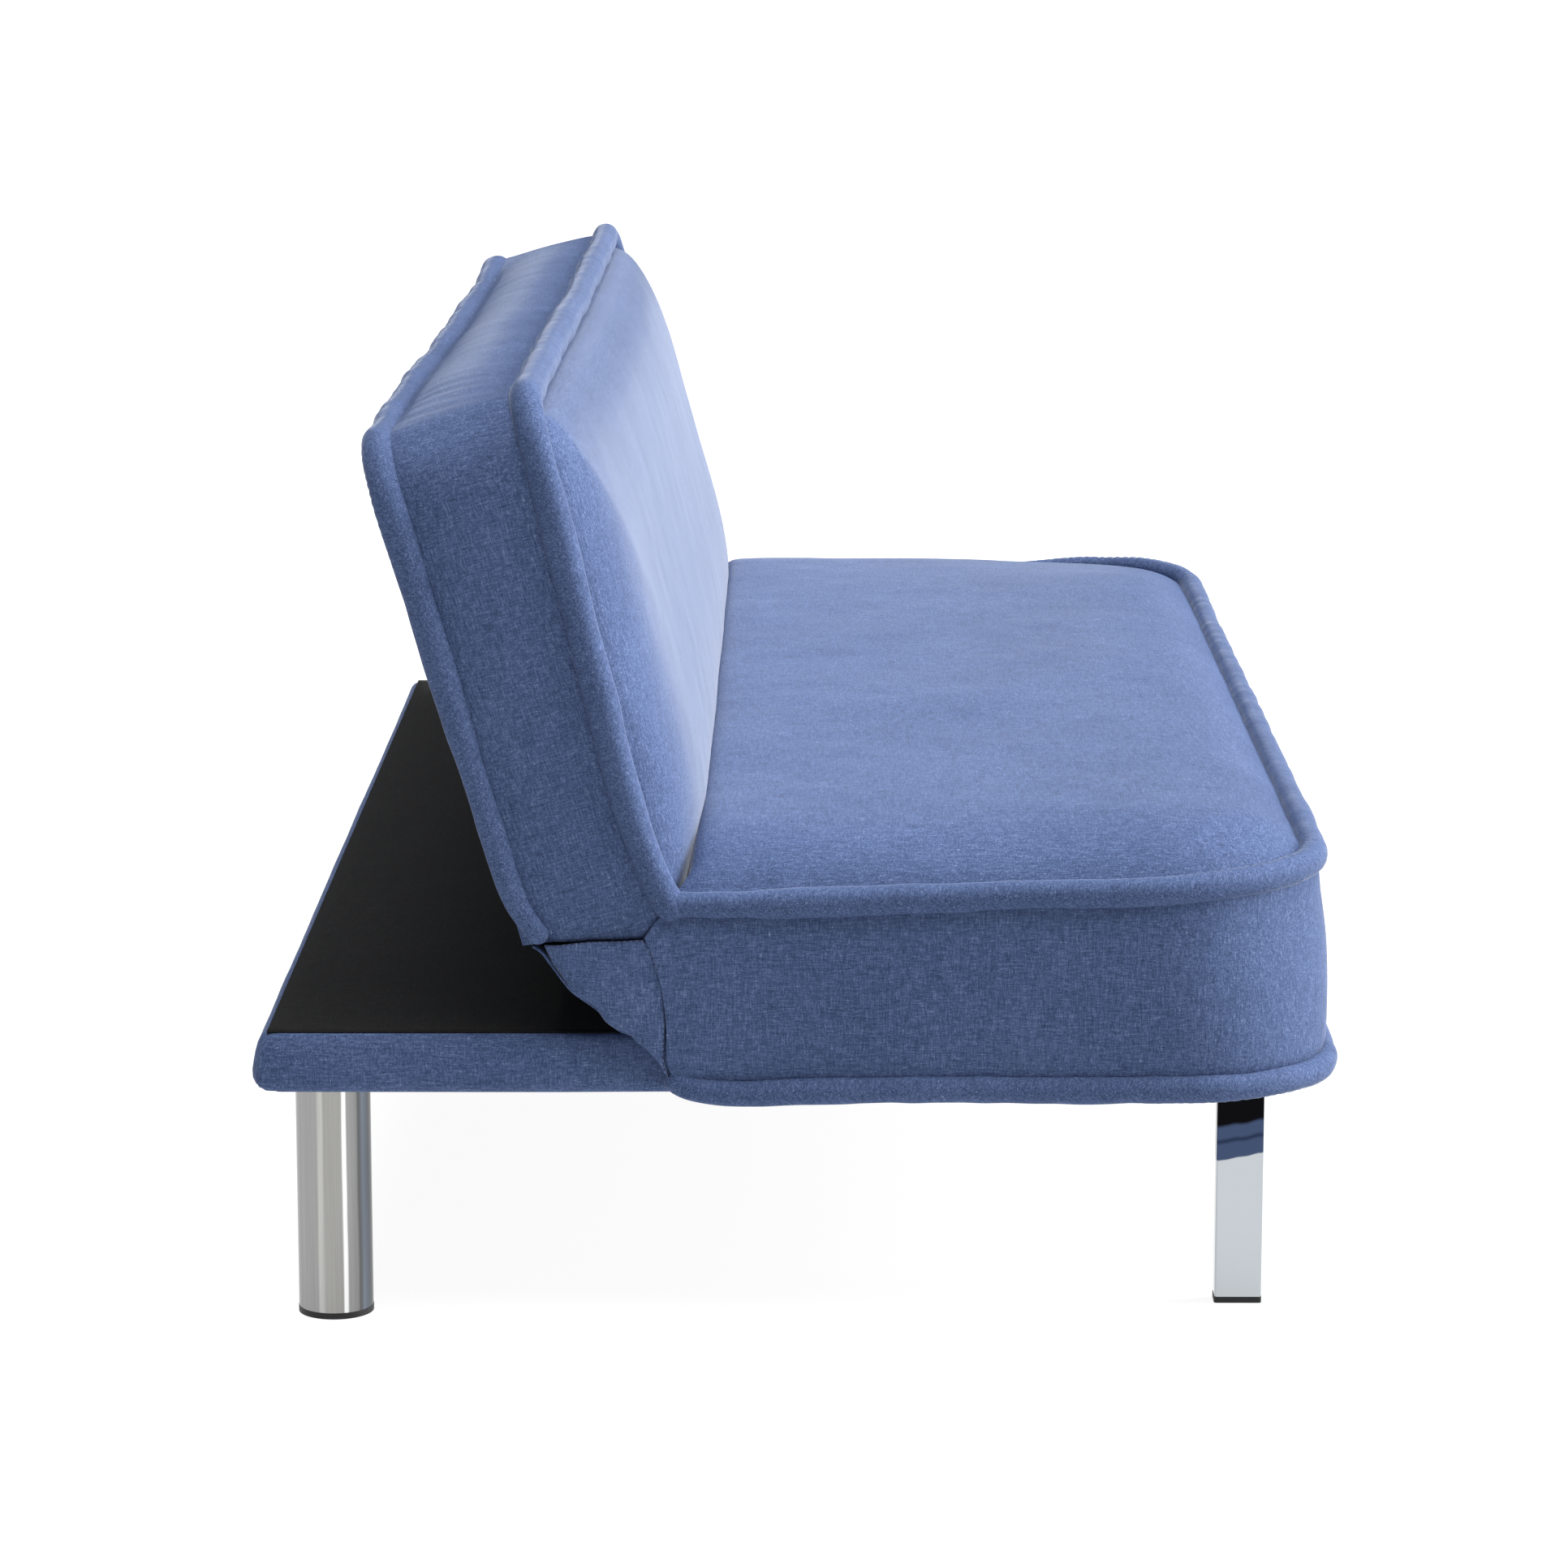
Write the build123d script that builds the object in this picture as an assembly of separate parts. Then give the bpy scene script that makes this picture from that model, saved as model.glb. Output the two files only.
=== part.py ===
from build123d import *
import os
from math import sin, cos, tan, radians, degrees, pi, hypot

# Futon sofa bed: a low base on four metal legs, a padded seat fixed on the
# base, and a padded back that leans back in clicks until it lies flat on the
# rear half of the base.  All sizes in millimetres.
# X runs along the sofa's length, the sitter faces -Y, +Z is up, and the
# origin is on the floor under the middle of the sofa.

# ------------------------------------------------------------ driving sizes
HALF_LEN = 838.0          # half of the overall length, over the fabric rolls
FRONT_Y = -433.0          # front of the seat's bottom roll
REAR_Y = 433.0            # rear of the base

# base
DECK_Z = 238.0            # top of the black cloth behind the seat
BASE_BOTTOM = 190.0
BASE_HALF = 815.5         # half length of the base over its fabric
WRAP_T = 4.0              # upholstery fabric with its thin wadding
CLOTH_T = 1.0
PLY_T = 9.0
RAIL_T = 22.0             # board thickness of all wooden rails
BASE_FRONT_Y = -405.0

# legs
REAR_LEG_D = 60.0
REAR_LEG_X = 778.0
REAR_LEG_Y = 382.0
FRONT_LEG_X = 748.0
FRONT_LEG_Y = -348.0
FRONT_LEG_W = 38.0        # along Y
FRONT_LEG_T = 20.0        # along X
TUBE_WALL = 1.5
FOOT_H = 5.0
PLATE_T = 4.0

# seat
SEAT_REAR_Y = 96.0
ROLL_D_SEAT = 22.0
SEAT_ROLL_LOW_Z = 197.0
SEAT_ROLL_TOP_Z = 345.5   # roll centre at Y = 81
SEAT_RISE = 0.030         # the seat's top seam rises this much per mm forward
SEAT_CORNER_R = 100.0
BASE_CORNER_R = 88.0      # front corners of the deck, under the seat
SEAT_CROWN = 40.0         # crown above the roll's centre line
BAND_X = 834.0            # half length over the side band
BAND_Y = -422.0

# back
RECLINE = 16.5            # lean of the back in the sitting position, degrees
BACK_Y, BACK_Z = 132.0, 318.0   # lower front corner of the back's side panel
BACK_TALL = 442.0         # along the slope, over the top roll
ROLL_D_BACK = 24.0
FRONT_ROLL_F = 26.0       # roll centre ahead of the corner line
REAR_ROLL_F = -88.0       # roll centre behind it
BACK_CROWN_F = 64.0
BACK_CORNER_R = 60.0

# hinge
PIVOT_S = 21.2            # pivot, up the slope from the corner line
PIN_R = 5.0
RUN_GAP = 0.05
WHEEL_R = 24.0
FLAT_ANGLE = 90.0 - RECLINE     # turn from sitting to flat
CLICK = FLAT_ANGLE / 2.0
FORWARD_TRIP = 6.0        # the back tips forward this far to let the pawl go

os.makedirs("parts", exist_ok=True)

t = radians(RECLINE)
PIVOT_Y = BACK_Y + PIVOT_S * sin(t)
PIVOT_Z = BACK_Z + PIVOT_S * cos(t)
# local frame of the back: x along the sofa, y up the slope, z forward
BACK = Plane(origin=(0, BACK_Y, BACK_Z), x_dir=(1, 0, 0), z_dir=(0, -cos(t), sin(t))).location
# local frame of the seat's upper seam: x along the sofa, y to the rear
SEAM = Plane(origin=(0, 81.0, SEAT_ROLL_TOP_Z), x_dir=(1, 0, 0), z_dir=(0, SEAT_RISE, 1)).location

nodes = {}


def bx(x0, x1, y0, y1, z0, z1):
    return Pos((x0 + x1) / 2, (y0 + y1) / 2, (z0 + z1) / 2) * Box(abs(x1 - x0), abs(y1 - y0), abs(z1 - z0))


def cyl_z(x, y, z0, z1, r):
    return Pos(x, y, (z0 + z1) / 2) * Cylinder(r, abs(z1 - z0))


def cyl_x(x0, x1, y, z, r):
    return Pos((x0 + x1) / 2, y, z) * Rot(0, 90, 0) * Cylinder(r, abs(x1 - x0))


def plate_x(x0, x1, pts):
    """A plate of the given Y-Z outline between two X planes."""
    face = make_face(Polyline(*[(p[0], p[1]) for p in pts], close=True))
    pl = Plane(origin=(x0, 0, 0), x_dir=(0, 1, 0), z_dir=(1, 0, 0))
    return extrude(pl.location * face, amount=abs(x1 - x0), dir=(1, 0, 0))


def group(solids):
    return Compound(children=list(solids))


def both(make):
    return make(-1), make(1)


def mirror_x(shape):
    return mirror(shape, about=Plane.YZ)


def outline(hx, y0, y1, r_low, r_high):
    """A rectangle with one radius at its two low-y corners and another at
    the two high-y ones, centred on x = 0."""
    with BuildSketch() as sk:
        with BuildLine() as ln:
            parts = []
            if r_low > 0:
                Line((hx - r_low, y0), (-hx + r_low, y0))
                RadiusArc((-hx + r_low, y0), (-hx, y0 + r_low), r_low)
            else:
                Line((hx, y0), (-hx, y0))
            if r_high > 0:
                Line((-hx, y0 + r_low), (-hx, y1 - r_high))
                RadiusArc((-hx, y1 - r_high), (-hx + r_high, y1), r_high)
                Line((-hx + r_high, y1), (hx - r_high, y1))
                RadiusArc((hx - r_high, y1), (hx, y1 - r_high), r_high)
                Line((hx, y1 - r_high), (hx, y0 + r_low))
            else:
                Line((-hx, y0 + r_low), (-hx, y1))
                Line((-hx, y1), (hx, y1))
                Line((hx, y1), (hx, y0 + r_low))
            if r_low > 0:
                RadiusArc((hx, y0 + r_low), (hx - r_low, y0), r_low)
        make_face()
    return sk.sketch


def frustum(a, za, b, zb):
    """Ruled block between outline a at height za and outline b at zb."""
    return loft([Pos(0, 0, za) * outline(*a), Pos(0, 0, zb) * outline(*b)], ruled=True)


def u_roll(hx, y_open, y_turn, r, rad):
    """Round roll along a U: up one end, across at y_turn, down the other."""
    sgn = 1 if y_turn > y_open else -1
    pts = [(-hx, y_open), (-hx, y_turn), (hx, y_turn), (hx, y_open)]
    path = FilletPolyline(*pts, radius=rad)
    sec = Plane(origin=path @ 0, z_dir=path % 0) * Circle(r)
    return sweep(sec, path=path)


# ---------------------------------------------------------------- the base
RAIL_X = BASE_HALF - WRAP_T            # outer face of the end rails
RAIL_REAR = REAR_Y - WRAP_T - 1.0
RAIL_BOT = BASE_BOTTOM + 7.0
RAIL_TOP = DECK_Z - CLOTH_T - PLY_T

screws = []       # (x, y, z0 head, z1 tip)
leg_screw_r = 2.5

plates, legs, feet, blocks = {}, {}, {}, []
for s in (-1, 1):
    side = "left" if s < 0 else "right"
    # rear leg plate, 80 x 90, under the rails and the corner block
    cx = s * (RAIL_X - 1.5 - 40)
    pl_r = bx(cx - 40, cx + 40, REAR_LEG_Y - 45, REAR_LEG_Y + 45, RAIL_BOT - PLATE_T, RAIL_BOT)
    rs = [(s * (RAIL_X - 9.5), REAR_LEG_Y - 37), (s * (RAIL_X - 9.5), REAR_LEG_Y + 37),
          (s * (RAIL_X - 73.5), REAR_LEG_Y - 37), (s * (RAIL_X - 73.5), REAR_LEG_Y + 37)]
    fx = s * (FRONT_LEG_X - 6)
    pl_f = bx(fx - 38, fx + 38, FRONT_LEG_Y - 30, FRONT_LEG_Y + 30, RAIL_BOT - PLATE_T, RAIL_BOT)
    fs = [(fx - 30, FRONT_LEG_Y - 24), (fx + 30, FRONT_LEG_Y - 24),
          (fx - 30, FRONT_LEG_Y + 24), (fx + 30, FRONT_LEG_Y + 24)]
    screws += rs + fs
    plates[side] = (pl_r, pl_f)

    tube = cyl_z(s * REAR_LEG_X, REAR_LEG_Y, FOOT_H, RAIL_BOT - PLATE_T, REAR_LEG_D / 2) \
        - cyl_z(s * REAR_LEG_X, REAR_LEG_Y, FOOT_H - 1, RAIL_BOT - PLATE_T + 1, REAR_LEG_D / 2 - TUBE_WALL)
    nodes["rear_leg_" + side] = tube
    flx = s * FRONT_LEG_X
    fb = bx(flx - FRONT_LEG_T / 2, flx + FRONT_LEG_T / 2, FRONT_LEG_Y - FRONT_LEG_W / 2, FRONT_LEG_Y + FRONT_LEG_W / 2,
            FOOT_H, RAIL_BOT - PLATE_T)
    fb = fillet(fb.edges().filter_by(Axis.Z), 2.5)
    fb = fb - bx(flx - FRONT_LEG_T / 2 + TUBE_WALL, flx + FRONT_LEG_T / 2 - TUBE_WALL,
                 FRONT_LEG_Y - FRONT_LEG_W / 2 + TUBE_WALL, FRONT_LEG_Y + FRONT_LEG_W / 2 - TUBE_WALL,
                 FOOT_H - 1, RAIL_BOT)
    nodes["front_leg_" + side] = fb
    # black plastic feet: a sole and a plug inside the tube
    foot = cyl_z(s * REAR_LEG_X, REAR_LEG_Y, 0, FOOT_H, REAR_LEG_D / 2 + 0.3) \
        + cyl_z(s * REAR_LEG_X, REAR_LEG_Y, FOOT_H, FOOT_H + 12, REAR_LEG_D / 2 - TUBE_WALL - RUN_GAP)
    ffoot = bx(flx - FRONT_LEG_T / 2 - 0.3, flx + FRONT_LEG_T / 2 + 0.3, FRONT_LEG_Y - FRONT_LEG_W / 2 - 0.3,
               FRONT_LEG_Y + FRONT_LEG_W / 2 + 0.3, 0, FOOT_H)
    ffoot = fillet(ffoot.edges().filter_by(Axis.Z), 2.5) + bx(
        flx - FRONT_LEG_T / 2 + TUBE_WALL + 0.1, flx + FRONT_LEG_T / 2 - TUBE_WALL - 0.1,
        FRONT_LEG_Y - FRONT_LEG_W / 2 + TUBE_WALL + 0.1, FRONT_LEG_Y + FRONT_LEG_W / 2 - TUBE_WALL - 0.1, FOOT_H, FOOT_H + 12)
    feet[side] = (foot, ffoot)

nodes["rear_leg_feet"] = group([feet["left"][0], feet["right"][0]])
nodes["front_leg_feet"] = group([feet["left"][1], feet["right"][1]])

holes_plate = [cyl_z(x, y, RAIL_BOT - PLATE_T - 1, RAIL_BOT + 1, leg_screw_r + 0.3) for x, y in screws]
holes_wood = [cyl_z(x, y, RAIL_BOT - 1, RAIL_BOT + 24.5, leg_screw_r + RUN_GAP) for x, y in screws]


def drill(shape, holes):
    bb = shape.bounding_box()
    for h in holes:
        hb = h.bounding_box()
        if hb.max.X > bb.min.X and hb.min.X < bb.max.X and hb.max.Y > bb.min.Y and hb.min.Y < bb.max.Y:
            shape = shape - h
    return shape


nodes["leg_plates"] = group([drill(p, holes_plate) for s in ("left", "right") for p in plates[s]])
nodes["leg_plate_screws"] = group([
    cyl_z(x, y, RAIL_BOT - PLATE_T - 2.5, RAIL_BOT - PLATE_T, 4.5) + cyl_z(x, y, RAIL_BOT - PLATE_T, RAIL_BOT + 24, leg_screw_r)
    for x, y in screws])

nodes["base_rail_rear"] = drill(bx(-RAIL_X, RAIL_X, RAIL_REAR - RAIL_T, RAIL_REAR, RAIL_BOT, RAIL_TOP), holes_wood)
CORNER_Y = BASE_FRONT_Y + BASE_CORNER_R
CORNER_X = RAIL_X - BASE_CORNER_R - 24
nodes["base_rail_front"] = drill(bx(-CORNER_X, CORNER_X, BASE_FRONT_Y, BASE_FRONT_Y + RAIL_T, RAIL_BOT, RAIL_TOP), holes_wood)
for s, side in ((-1, "left"), (1, "right")):
    nodes["base_end_rail_" + side] = drill(
        bx(s * RAIL_X, s * (RAIL_X - RAIL_T), CORNER_Y, RAIL_REAR - RAIL_T, RAIL_BOT, RAIL_TOP), holes_wood)
slats = []
for x in (-480, -160, 160, 480):
    slats.append(bx(x - 30, x + 30, BASE_FRONT_Y + RAIL_T, RAIL_REAR - RAIL_T, RAIL_TOP - 20, RAIL_TOP))
nodes["base_cross_slats"] = group(slats)
for s in (-1, 1):
    xi = RAIL_X - RAIL_T
    blocks.append(drill(bx(s * xi, s * (xi - 72), RAIL_REAR - RAIL_T - 72, RAIL_REAR - RAIL_T, RAIL_BOT, RAIL_TOP), holes_wood))
    fb = Pos(0, 0, RAIL_BOT) * extrude(outline(RAIL_X, BASE_FRONT_Y, CORNER_Y + 40, BASE_CORNER_R, 0), amount=RAIL_TOP - RAIL_BOT)
    fb = fb & bx(s * CORNER_X, s * 900, -600, CORNER_Y, 0, 400)
    blocks.append(drill(fb, holes_wood))
nodes["base_corner_blocks"] = group(blocks)
deck = outline(RAIL_X, BASE_FRONT_Y, RAIL_REAR, BASE_CORNER_R, 0)
nodes["platform_deck"] = Pos(0, 0, RAIL_TOP) * extrude(deck, amount=PLY_T)
nodes["platform_cloth"] = Pos(0, 0, RAIL_TOP + PLY_T) * extrude(deck, amount=CLOTH_T)
# fabric round the two ends and the rear, with a lip turned under the rails
wrap_out = Pos(0, 0, BASE_BOTTOM) * extrude(outline(BASE_HALF, CORNER_Y, REAR_Y, 0, 14.0), amount=DECK_Z - BASE_BOTTOM)
wrap_in = bx(-RAIL_X - 0.2, RAIL_X + 0.2, BASE_FRONT_Y - 1, RAIL_REAR + 0.2, BASE_BOTTOM + 1.2, DECK_Z + 1)
wrap_open = bx(-RAIL_X + 3, RAIL_X - 3, BASE_FRONT_Y - 1, RAIL_REAR - 2.5, BASE_BOTTOM - 1, DECK_Z)
nodes["base_fabric_wrap"] = wrap_out - wrap_in - wrap_open
# black cloth stapled under the rails, cut round the legs
dust = Pos(0, 0, BASE_BOTTOM + 1.4) * extrude(outline(RAIL_X - 3.5, BASE_FRONT_Y + 1, RAIL_REAR - 3, BASE_CORNER_R, 0), amount=0.8)
for s in (-1, 1):
    dust = dust - bx(s * (RAIL_X + 5), s * (RAIL_X - 84), REAR_LEG_Y - 48, REAR_Y + 5, BASE_BOTTOM, BASE_BOTTOM + 5)
    fx = s * (FRONT_LEG_X - 6)
    dust = dust - bx(fx - 41, fx + 41, FRONT_LEG_Y - 33, FRONT_LEG_Y + 33, BASE_BOTTOM, BASE_BOTTOM + 5)
nodes["base_dust_cover"] = dust

# ---------------------------------------------------------------- the seat
SX = 815.0                       # outer face of the seat frame's end rails
SEAT_RAIL_TOP = DECK_Z + 50.0
HINGE_X = SX - RAIL_T            # inner face of the end rails: 793
SCX = SX - BASE_CORNER_R
SCY = BASE_FRONT_Y + 2 + BASE_CORNER_R
nodes["seat_rail_front"] = bx(-SCX, SCX, BASE_FRONT_Y + 2, BASE_FRONT_Y + 2 + RAIL_T, DECK_Z, SEAT_RAIL_TOP)
# shaped blocks carry the frame round the two front corners
ring = extrude(outline(SX, BASE_FRONT_Y + 2, 60, BASE_CORNER_R, 0), amount=50) - Pos(0, 0, -1) * extrude(
    outline(SX - 34, BASE_FRONT_Y + 36, 60, BASE_CORNER_R - 34, 0), amount=60)
nodes["seat_corner_blocks"] = group([Pos(0, 0, DECK_Z) * (ring & bx(s * SCX, s * 900, -600, SCY, -5, 100)) for s in (-1, 1)])
nodes["seat_rail_rear"] = bx(-HINGE_X + 14, HINGE_X - 14, 71, 71 + RAIL_T, DECK_Z, SEAT_RAIL_TOP)
for s, side in ((-1, "left"), (1, "right")):
    nodes["seat_end_rail_" + side] = bx(s * SX, s * HINGE_X, SCY, 93, DECK_Z, SEAT_RAIL_TOP)
nodes["seat_centre_rails"] = group([bx(x - 11, x + 11, BASE_FRONT_Y + 2 + RAIL_T, 71, DECK_Z, DECK_Z + 32) for x in (-270, 270)])

# zigzag springs, hooked into clips on the front and rear rails
SPR_R = 1.8
SPR_Z = SEAT_RAIL_TOP + SPR_R + 0.4
y_a, y_b = BASE_FRONT_Y + 2 + 12.0, 72 + 10.0
springs, clips = [], []
n_half = 13
for i in range(7):
    x0 = -660 + 220 * i
    pitch = (y_b - y_a) / n_half
    pts = [(x0 - 20, y_a)]
    for k in range(n_half):
        xa = x0 + (20 if k % 2 == 0 else -20)
        pts.append((xa, y_a + pitch * k))
        pts.append((xa, y_a + pitch * (k + 1)))
    pts.append((x0 - 20 if n_half % 2 else x0 + 20, y_b))
    clean = [pts[0]]
    for p in pts[1:]:
        if hypot(p[0] - clean[-1][0], p[1] - clean[-1][1]) > 1e-6:
            clean.append(p)
    path = FilletPolyline(*[(p[0], p[1], SPR_Z) for p in clean], radius=11.0)
    sec = Plane(origin=path @ 0, z_dir=path % 0) * Circle(SPR_R)
    springs.append(sweep(sec, path=path))
    for yy in (y_a, y_b):
        c = bx(x0 - 7, x0 + 7, yy - 6, yy + 6, SEAT_RAIL_TOP, SEAT_RAIL_TOP + 6)
        c = c - bx(x0 - 16, x0 + 16, yy - 2.3, yy + 2.3, SEAT_RAIL_TOP + 0.01, SEAT_RAIL_TOP + 4.5)
        clips.append(c)
nodes["seat_springs"] = group(springs)
nodes["seat_spring_clips"] = group(clips)
FELT_Z = SEAT_RAIL_TOP + 6.5
nodes["seat_felt_pad"] = Pos(0, 0, FELT_Z) * extrude(outline(812.0, BASE_FRONT_Y + 4, 90.0, BASE_CORNER_R, 0), amount=3) \
    - bx(-802, -768, 40, 100, 0, 400) - bx(768, 802, 40, 100, 0, 400)

# fixed leaf of each hinge stands inside the end rail, so the foam is
# notched there
FOAM_Z = FELT_Z + 3.3
foam_low = Pos(0, 0, FOAM_Z) * extrude(outline(815.0, -408.0, 90.0, SEAT_CORNER_R - 12, 0), amount=SEAT_ROLL_TOP_Z - FOAM_Z)
CAP_A = (815.5, -482.5, 10.0, 84.5, 0)      # in the seam's frame, y = 0 at Y 81
CAP_B = (756.0, -436.0, -16.0, 70.0, 0)
foam_top = SEAM * frustum(CAP_A, 0.5, CAP_B, SEAT_CROWN - 2.4)
wedge = SEAM * Pos(0, 0, -30) * extrude(outline(815.2, -482.0, 9.0, 84.2, 0), amount=30.7)
foam = foam_low + wedge + foam_top
for s in (-1, 1):
    foam = foam - bx(s * 802, s * 768, 40, 110, 0, 352)
nodes["seat_foam"] = foam
cap = SEAM * (frustum(CAP_A, 3.0, CAP_B, SEAT_CROWN) - frustum(CAP_A, 1.0, CAP_B, SEAT_CROWN - 2.0))
nodes["seat_top_panel"] = cap

# upright band round the two ends and the front, and across the rear
band_out = extrude(outline(BAND_X, BAND_Y, SEAT_REAR_Y, SEAT_CORNER_R + 4, 0), amount=200)
band_in = extrude(outline(BAND_X - 2, BAND_Y + 2, SEAT_REAR_Y - 2, SEAT_CORNER_R + 2, 0), amount=200)
BAND_LOW = SEAT_ROLL_LOW_Z + ROLL_D_SEAT / 2 + 0.3
band = Pos(0, 0, BAND_LOW) * (band_out - band_in)
top_cut = SEAM * Pos(0, 0, -ROLL_D_SEAT / 2 - 0.3) * bx(-900, 900, -700, 200, 0, 300)
band = band - top_cut
band = band - bx(-900, 900, SEAT_REAR_Y - 4, 110, 0, DECK_Z + 0.3)     # rear wall stops on the deck
for s in (-1, 1):
    band = band - bx(s * 801, s * 769, 90, 110, 0, 400)   # slit for the hinge leaf
nodes["seat_side_band"] = band
# wadding behind the band, round the frame
pad_out = Pos(0, 0, BAND_LOW) * extrude(outline(BAND_X - 2.3, BAND_Y + 2.3, 92.0, SEAT_CORNER_R + 1.7, 0), amount=SEAT_RAIL_TOP + 5 - BAND_LOW)
pad_in = Pos(0, 0, BAND_LOW - 1) * extrude(outline(BAND_X - 16, BAND_Y + 14, 95.0, SEAT_CORNER_R - 10, 0), amount=200)
frame_clear = Pos(0, 0, 1) * extrude(outline(BASE_HALF + 0.4, BASE_FRONT_Y - 0.5, 120, BASE_CORNER_R, 0), amount=500)
nodes["seat_side_wadding"] = pad_out - pad_in - frame_clear - bx(-900, 900, 91.5, 120, 0, 500)

roll_top = SEAM * u_roll(HALF_LEN - ROLL_D_SEAT / 2, SEAT_REAR_Y + 1 - 81.0, -494.0, ROLL_D_SEAT / 2, SEAT_CORNER_R - 4)
nodes["seat_top_roll"] = roll_top
roll_low = Pos(0, 0, SEAT_ROLL_LOW_Z) * u_roll(HALF_LEN - ROLL_D_SEAT / 2, SEAT_REAR_Y + 1, FRONT_Y + ROLL_D_SEAT / 2,
                                               ROLL_D_SEAT / 2, SEAT_CORNER_R)
nodes["seat_bottom_roll"] = roll_low

# ---------------------------------------------------------------- the back
# local coordinates: x along the sofa, y up the slope, z forward
BX = HINGE_X - 4.5 + RAIL_T      # outer face of the back's end rails
BXI = BX - RAIL_T                # inner face: 788.5
F0, F1 = -92.0, -70.0            # rear and front faces of the rails
nodes["back_rail_bottom"] = BACK * bx(-BXI + 6, BXI - 6, 26, 60, F0, F1)
rail_t = Pos(0, 0, F0) * extrude(outline(BX, 300, 415, 0, 44.0), amount=F1 - F0)
nodes["back_rail_top"] = BACK * (rail_t - bx(-900, 900, 290, 384, -200, 0))
for s, side in ((-1, "left"), (1, "right")):
    nodes["back_end_rail_" + side] = BACK * (bx(s * BX, s * BXI, 26, 384, F0, F1) & (Pos(0, 0, F0) * extrude(outline(BX, 20, 415, 0, 44.0), amount=F1 - F0)))
nodes["back_centre_rails"] = BACK * group([bx(x - 20, x + 20, 60, 384, F0, F1) for x in (-265, 265)])
nodes["back_webbing"] = BACK * group([bx(x - 30, x + 30, 30, 412, F1 + 0.3, F1 + 2.3) for x in (-660, -528, -396, -132, 0, 132, 396, 528, 660)])

foam_f0 = F1 + 3.0
PIV = (PIVOT_S, 0.0)
core = Pos(0, 0, foam_f0) * extrude(outline(813.5, 4.0, 417.5, 0, BACK_CORNER_R - 12.5), amount=FRONT_ROLL_F - foam_f0)
CAP_BA = (813.5, 12.0, 417.5, 0, BACK_CORNER_R - 12.5)
CAP_BB = (756.0, 62.0, 366.0, 0, 40.0)
crown = frustum(CAP_BA, FRONT_ROLL_F - 0.5, CAP_BB, BACK_CROWN_F - 2.4)
bfoam = core + crown
# room round each hinge, and for the arm that reaches back to the end rail
for s in (-1, 1):
    bfoam = bfoam - cyl_x(s * 803, s * 768, PIVOT_S, 0, 62)
    bfoam = bfoam - bx(s * 803, s * 768, -20, 205, -100, -8)
nodes["back_foam"] = BACK * bfoam
bcap = frustum(CAP_BA, FRONT_ROLL_F + 2.0, CAP_BB, BACK_CROWN_F) - frustum(CAP_BA, FRONT_ROLL_F, CAP_BB, BACK_CROWN_F - 2.0)
nodes["back_front_panel"] = BACK * bcap

# band over the two ends and the top
bb_out = Pos(0, 0, REAR_ROLL_F + 12.3) * extrude(outline(BAND_X, 20.0, 438.0, 0, BACK_CORNER_R + 2), amount=FRONT_ROLL_F - REAR_ROLL_F - 24.6)
bb_in = Pos(0, 0, REAR_ROLL_F) * extrude(outline(BAND_X - 2, -10.0, 436.0, 0, BACK_CORNER_R), amount=200)
bband = bb_out - bb_in
nodes["back_side_band"] = BACK * bband
nodes["back_side_wadding"] = BACK * (
    (Pos(0, 0, -75.0) * extrude(outline(BAND_X - 2.3, 24.0, 435.7, 0, BACK_CORNER_R - 0.3), amount=88.0))
    - Pos(0, 0, -76.0) * extrude(outline(813.8, -50.0, 417.8, 0, BACK_CORNER_R - 12.2), amount=90.0))
nodes["back_rear_panel"] = BACK * (Pos(0, 0, F0 - 2.2) * extrude(outline(813.0, 24.0, 415.0, 0, BACK_CORNER_R - 13), amount=1.8))

r_b = ROLL_D_BACK / 2
nodes["back_front_roll"] = BACK * Pos(0, 0, FRONT_ROLL_F) * u_roll(HALF_LEN - r_b, 10.0, BACK_TALL - r_b, r_b, BACK_CORNER_R)
nodes["back_rear_roll"] = BACK * Pos(0, 0, REAR_ROLL_F) * u_roll(HALF_LEN - r_b, 20.0, BACK_TALL - r_b - 2, r_b, BACK_CORNER_R)

# ------------------------------------------------------------- the hinges
# Every outline is in Y and Z from the pivot, drawn for the left end.
def rot_yz(p, a):
    """Turn a point the way the back turns: its top towards the rear."""
    c, s_ = cos(a), sin(a)
    return (p[0] * c + p[1] * s_, -p[0] * s_ + p[1] * c)


def at(p):
    return (PIVOT_Y + p[0], PIVOT_Z + p[1])


def local(s_, f):
    """A point of the back's slope frame as Y, Z from the pivot."""
    y = BACK_Y + s_ * sin(t) - f * cos(t) - PIVOT_Y
    z = BACK_Z + s_ * cos(t) + f * sin(t) - PIVOT_Z
    return (y, z)


PX0 = -HINGE_X            # -793 inner face of the end rail
LEAF_X = (PX0, PX0 + 4.0)               # fixed leaf
ARM_X = (PX0 + 4.5, PX0 + 8.5)          # moving arm
WHEEL_X = (PX0 + 8.5, PX0 + 12.5)       # ratchet wheel, welded to the arm

# fixed leaf: a foot along the end rail and a neck up to the pivot
leaf = plate_x(*LEAF_X, [(10, DECK_Z + 6), (90, DECK_Z + 6), (142, PIVOT_Z - 52), (162, PIVOT_Z - 30), (PIVOT_Y + 22, PIVOT_Z),
                         (PIVOT_Y - 22, PIVOT_Z), (84, 296), (60, 286), (10, 286)])
leaf = leaf + cyl_x(*LEAF_X, PIVOT_Y, PIVOT_Z, 26)
leaf = leaf - cyl_x(LEAF_X[0] - 1, LEAF_X[1] + 1, PIVOT_Y, PIVOT_Z, PIN_R + RUN_GAP)
# pawl under the wheel
A_P = radians(235.0)
nvec = (cos(A_P), sin(A_P))
tvec = (-sin(A_P), cos(A_P))


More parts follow.
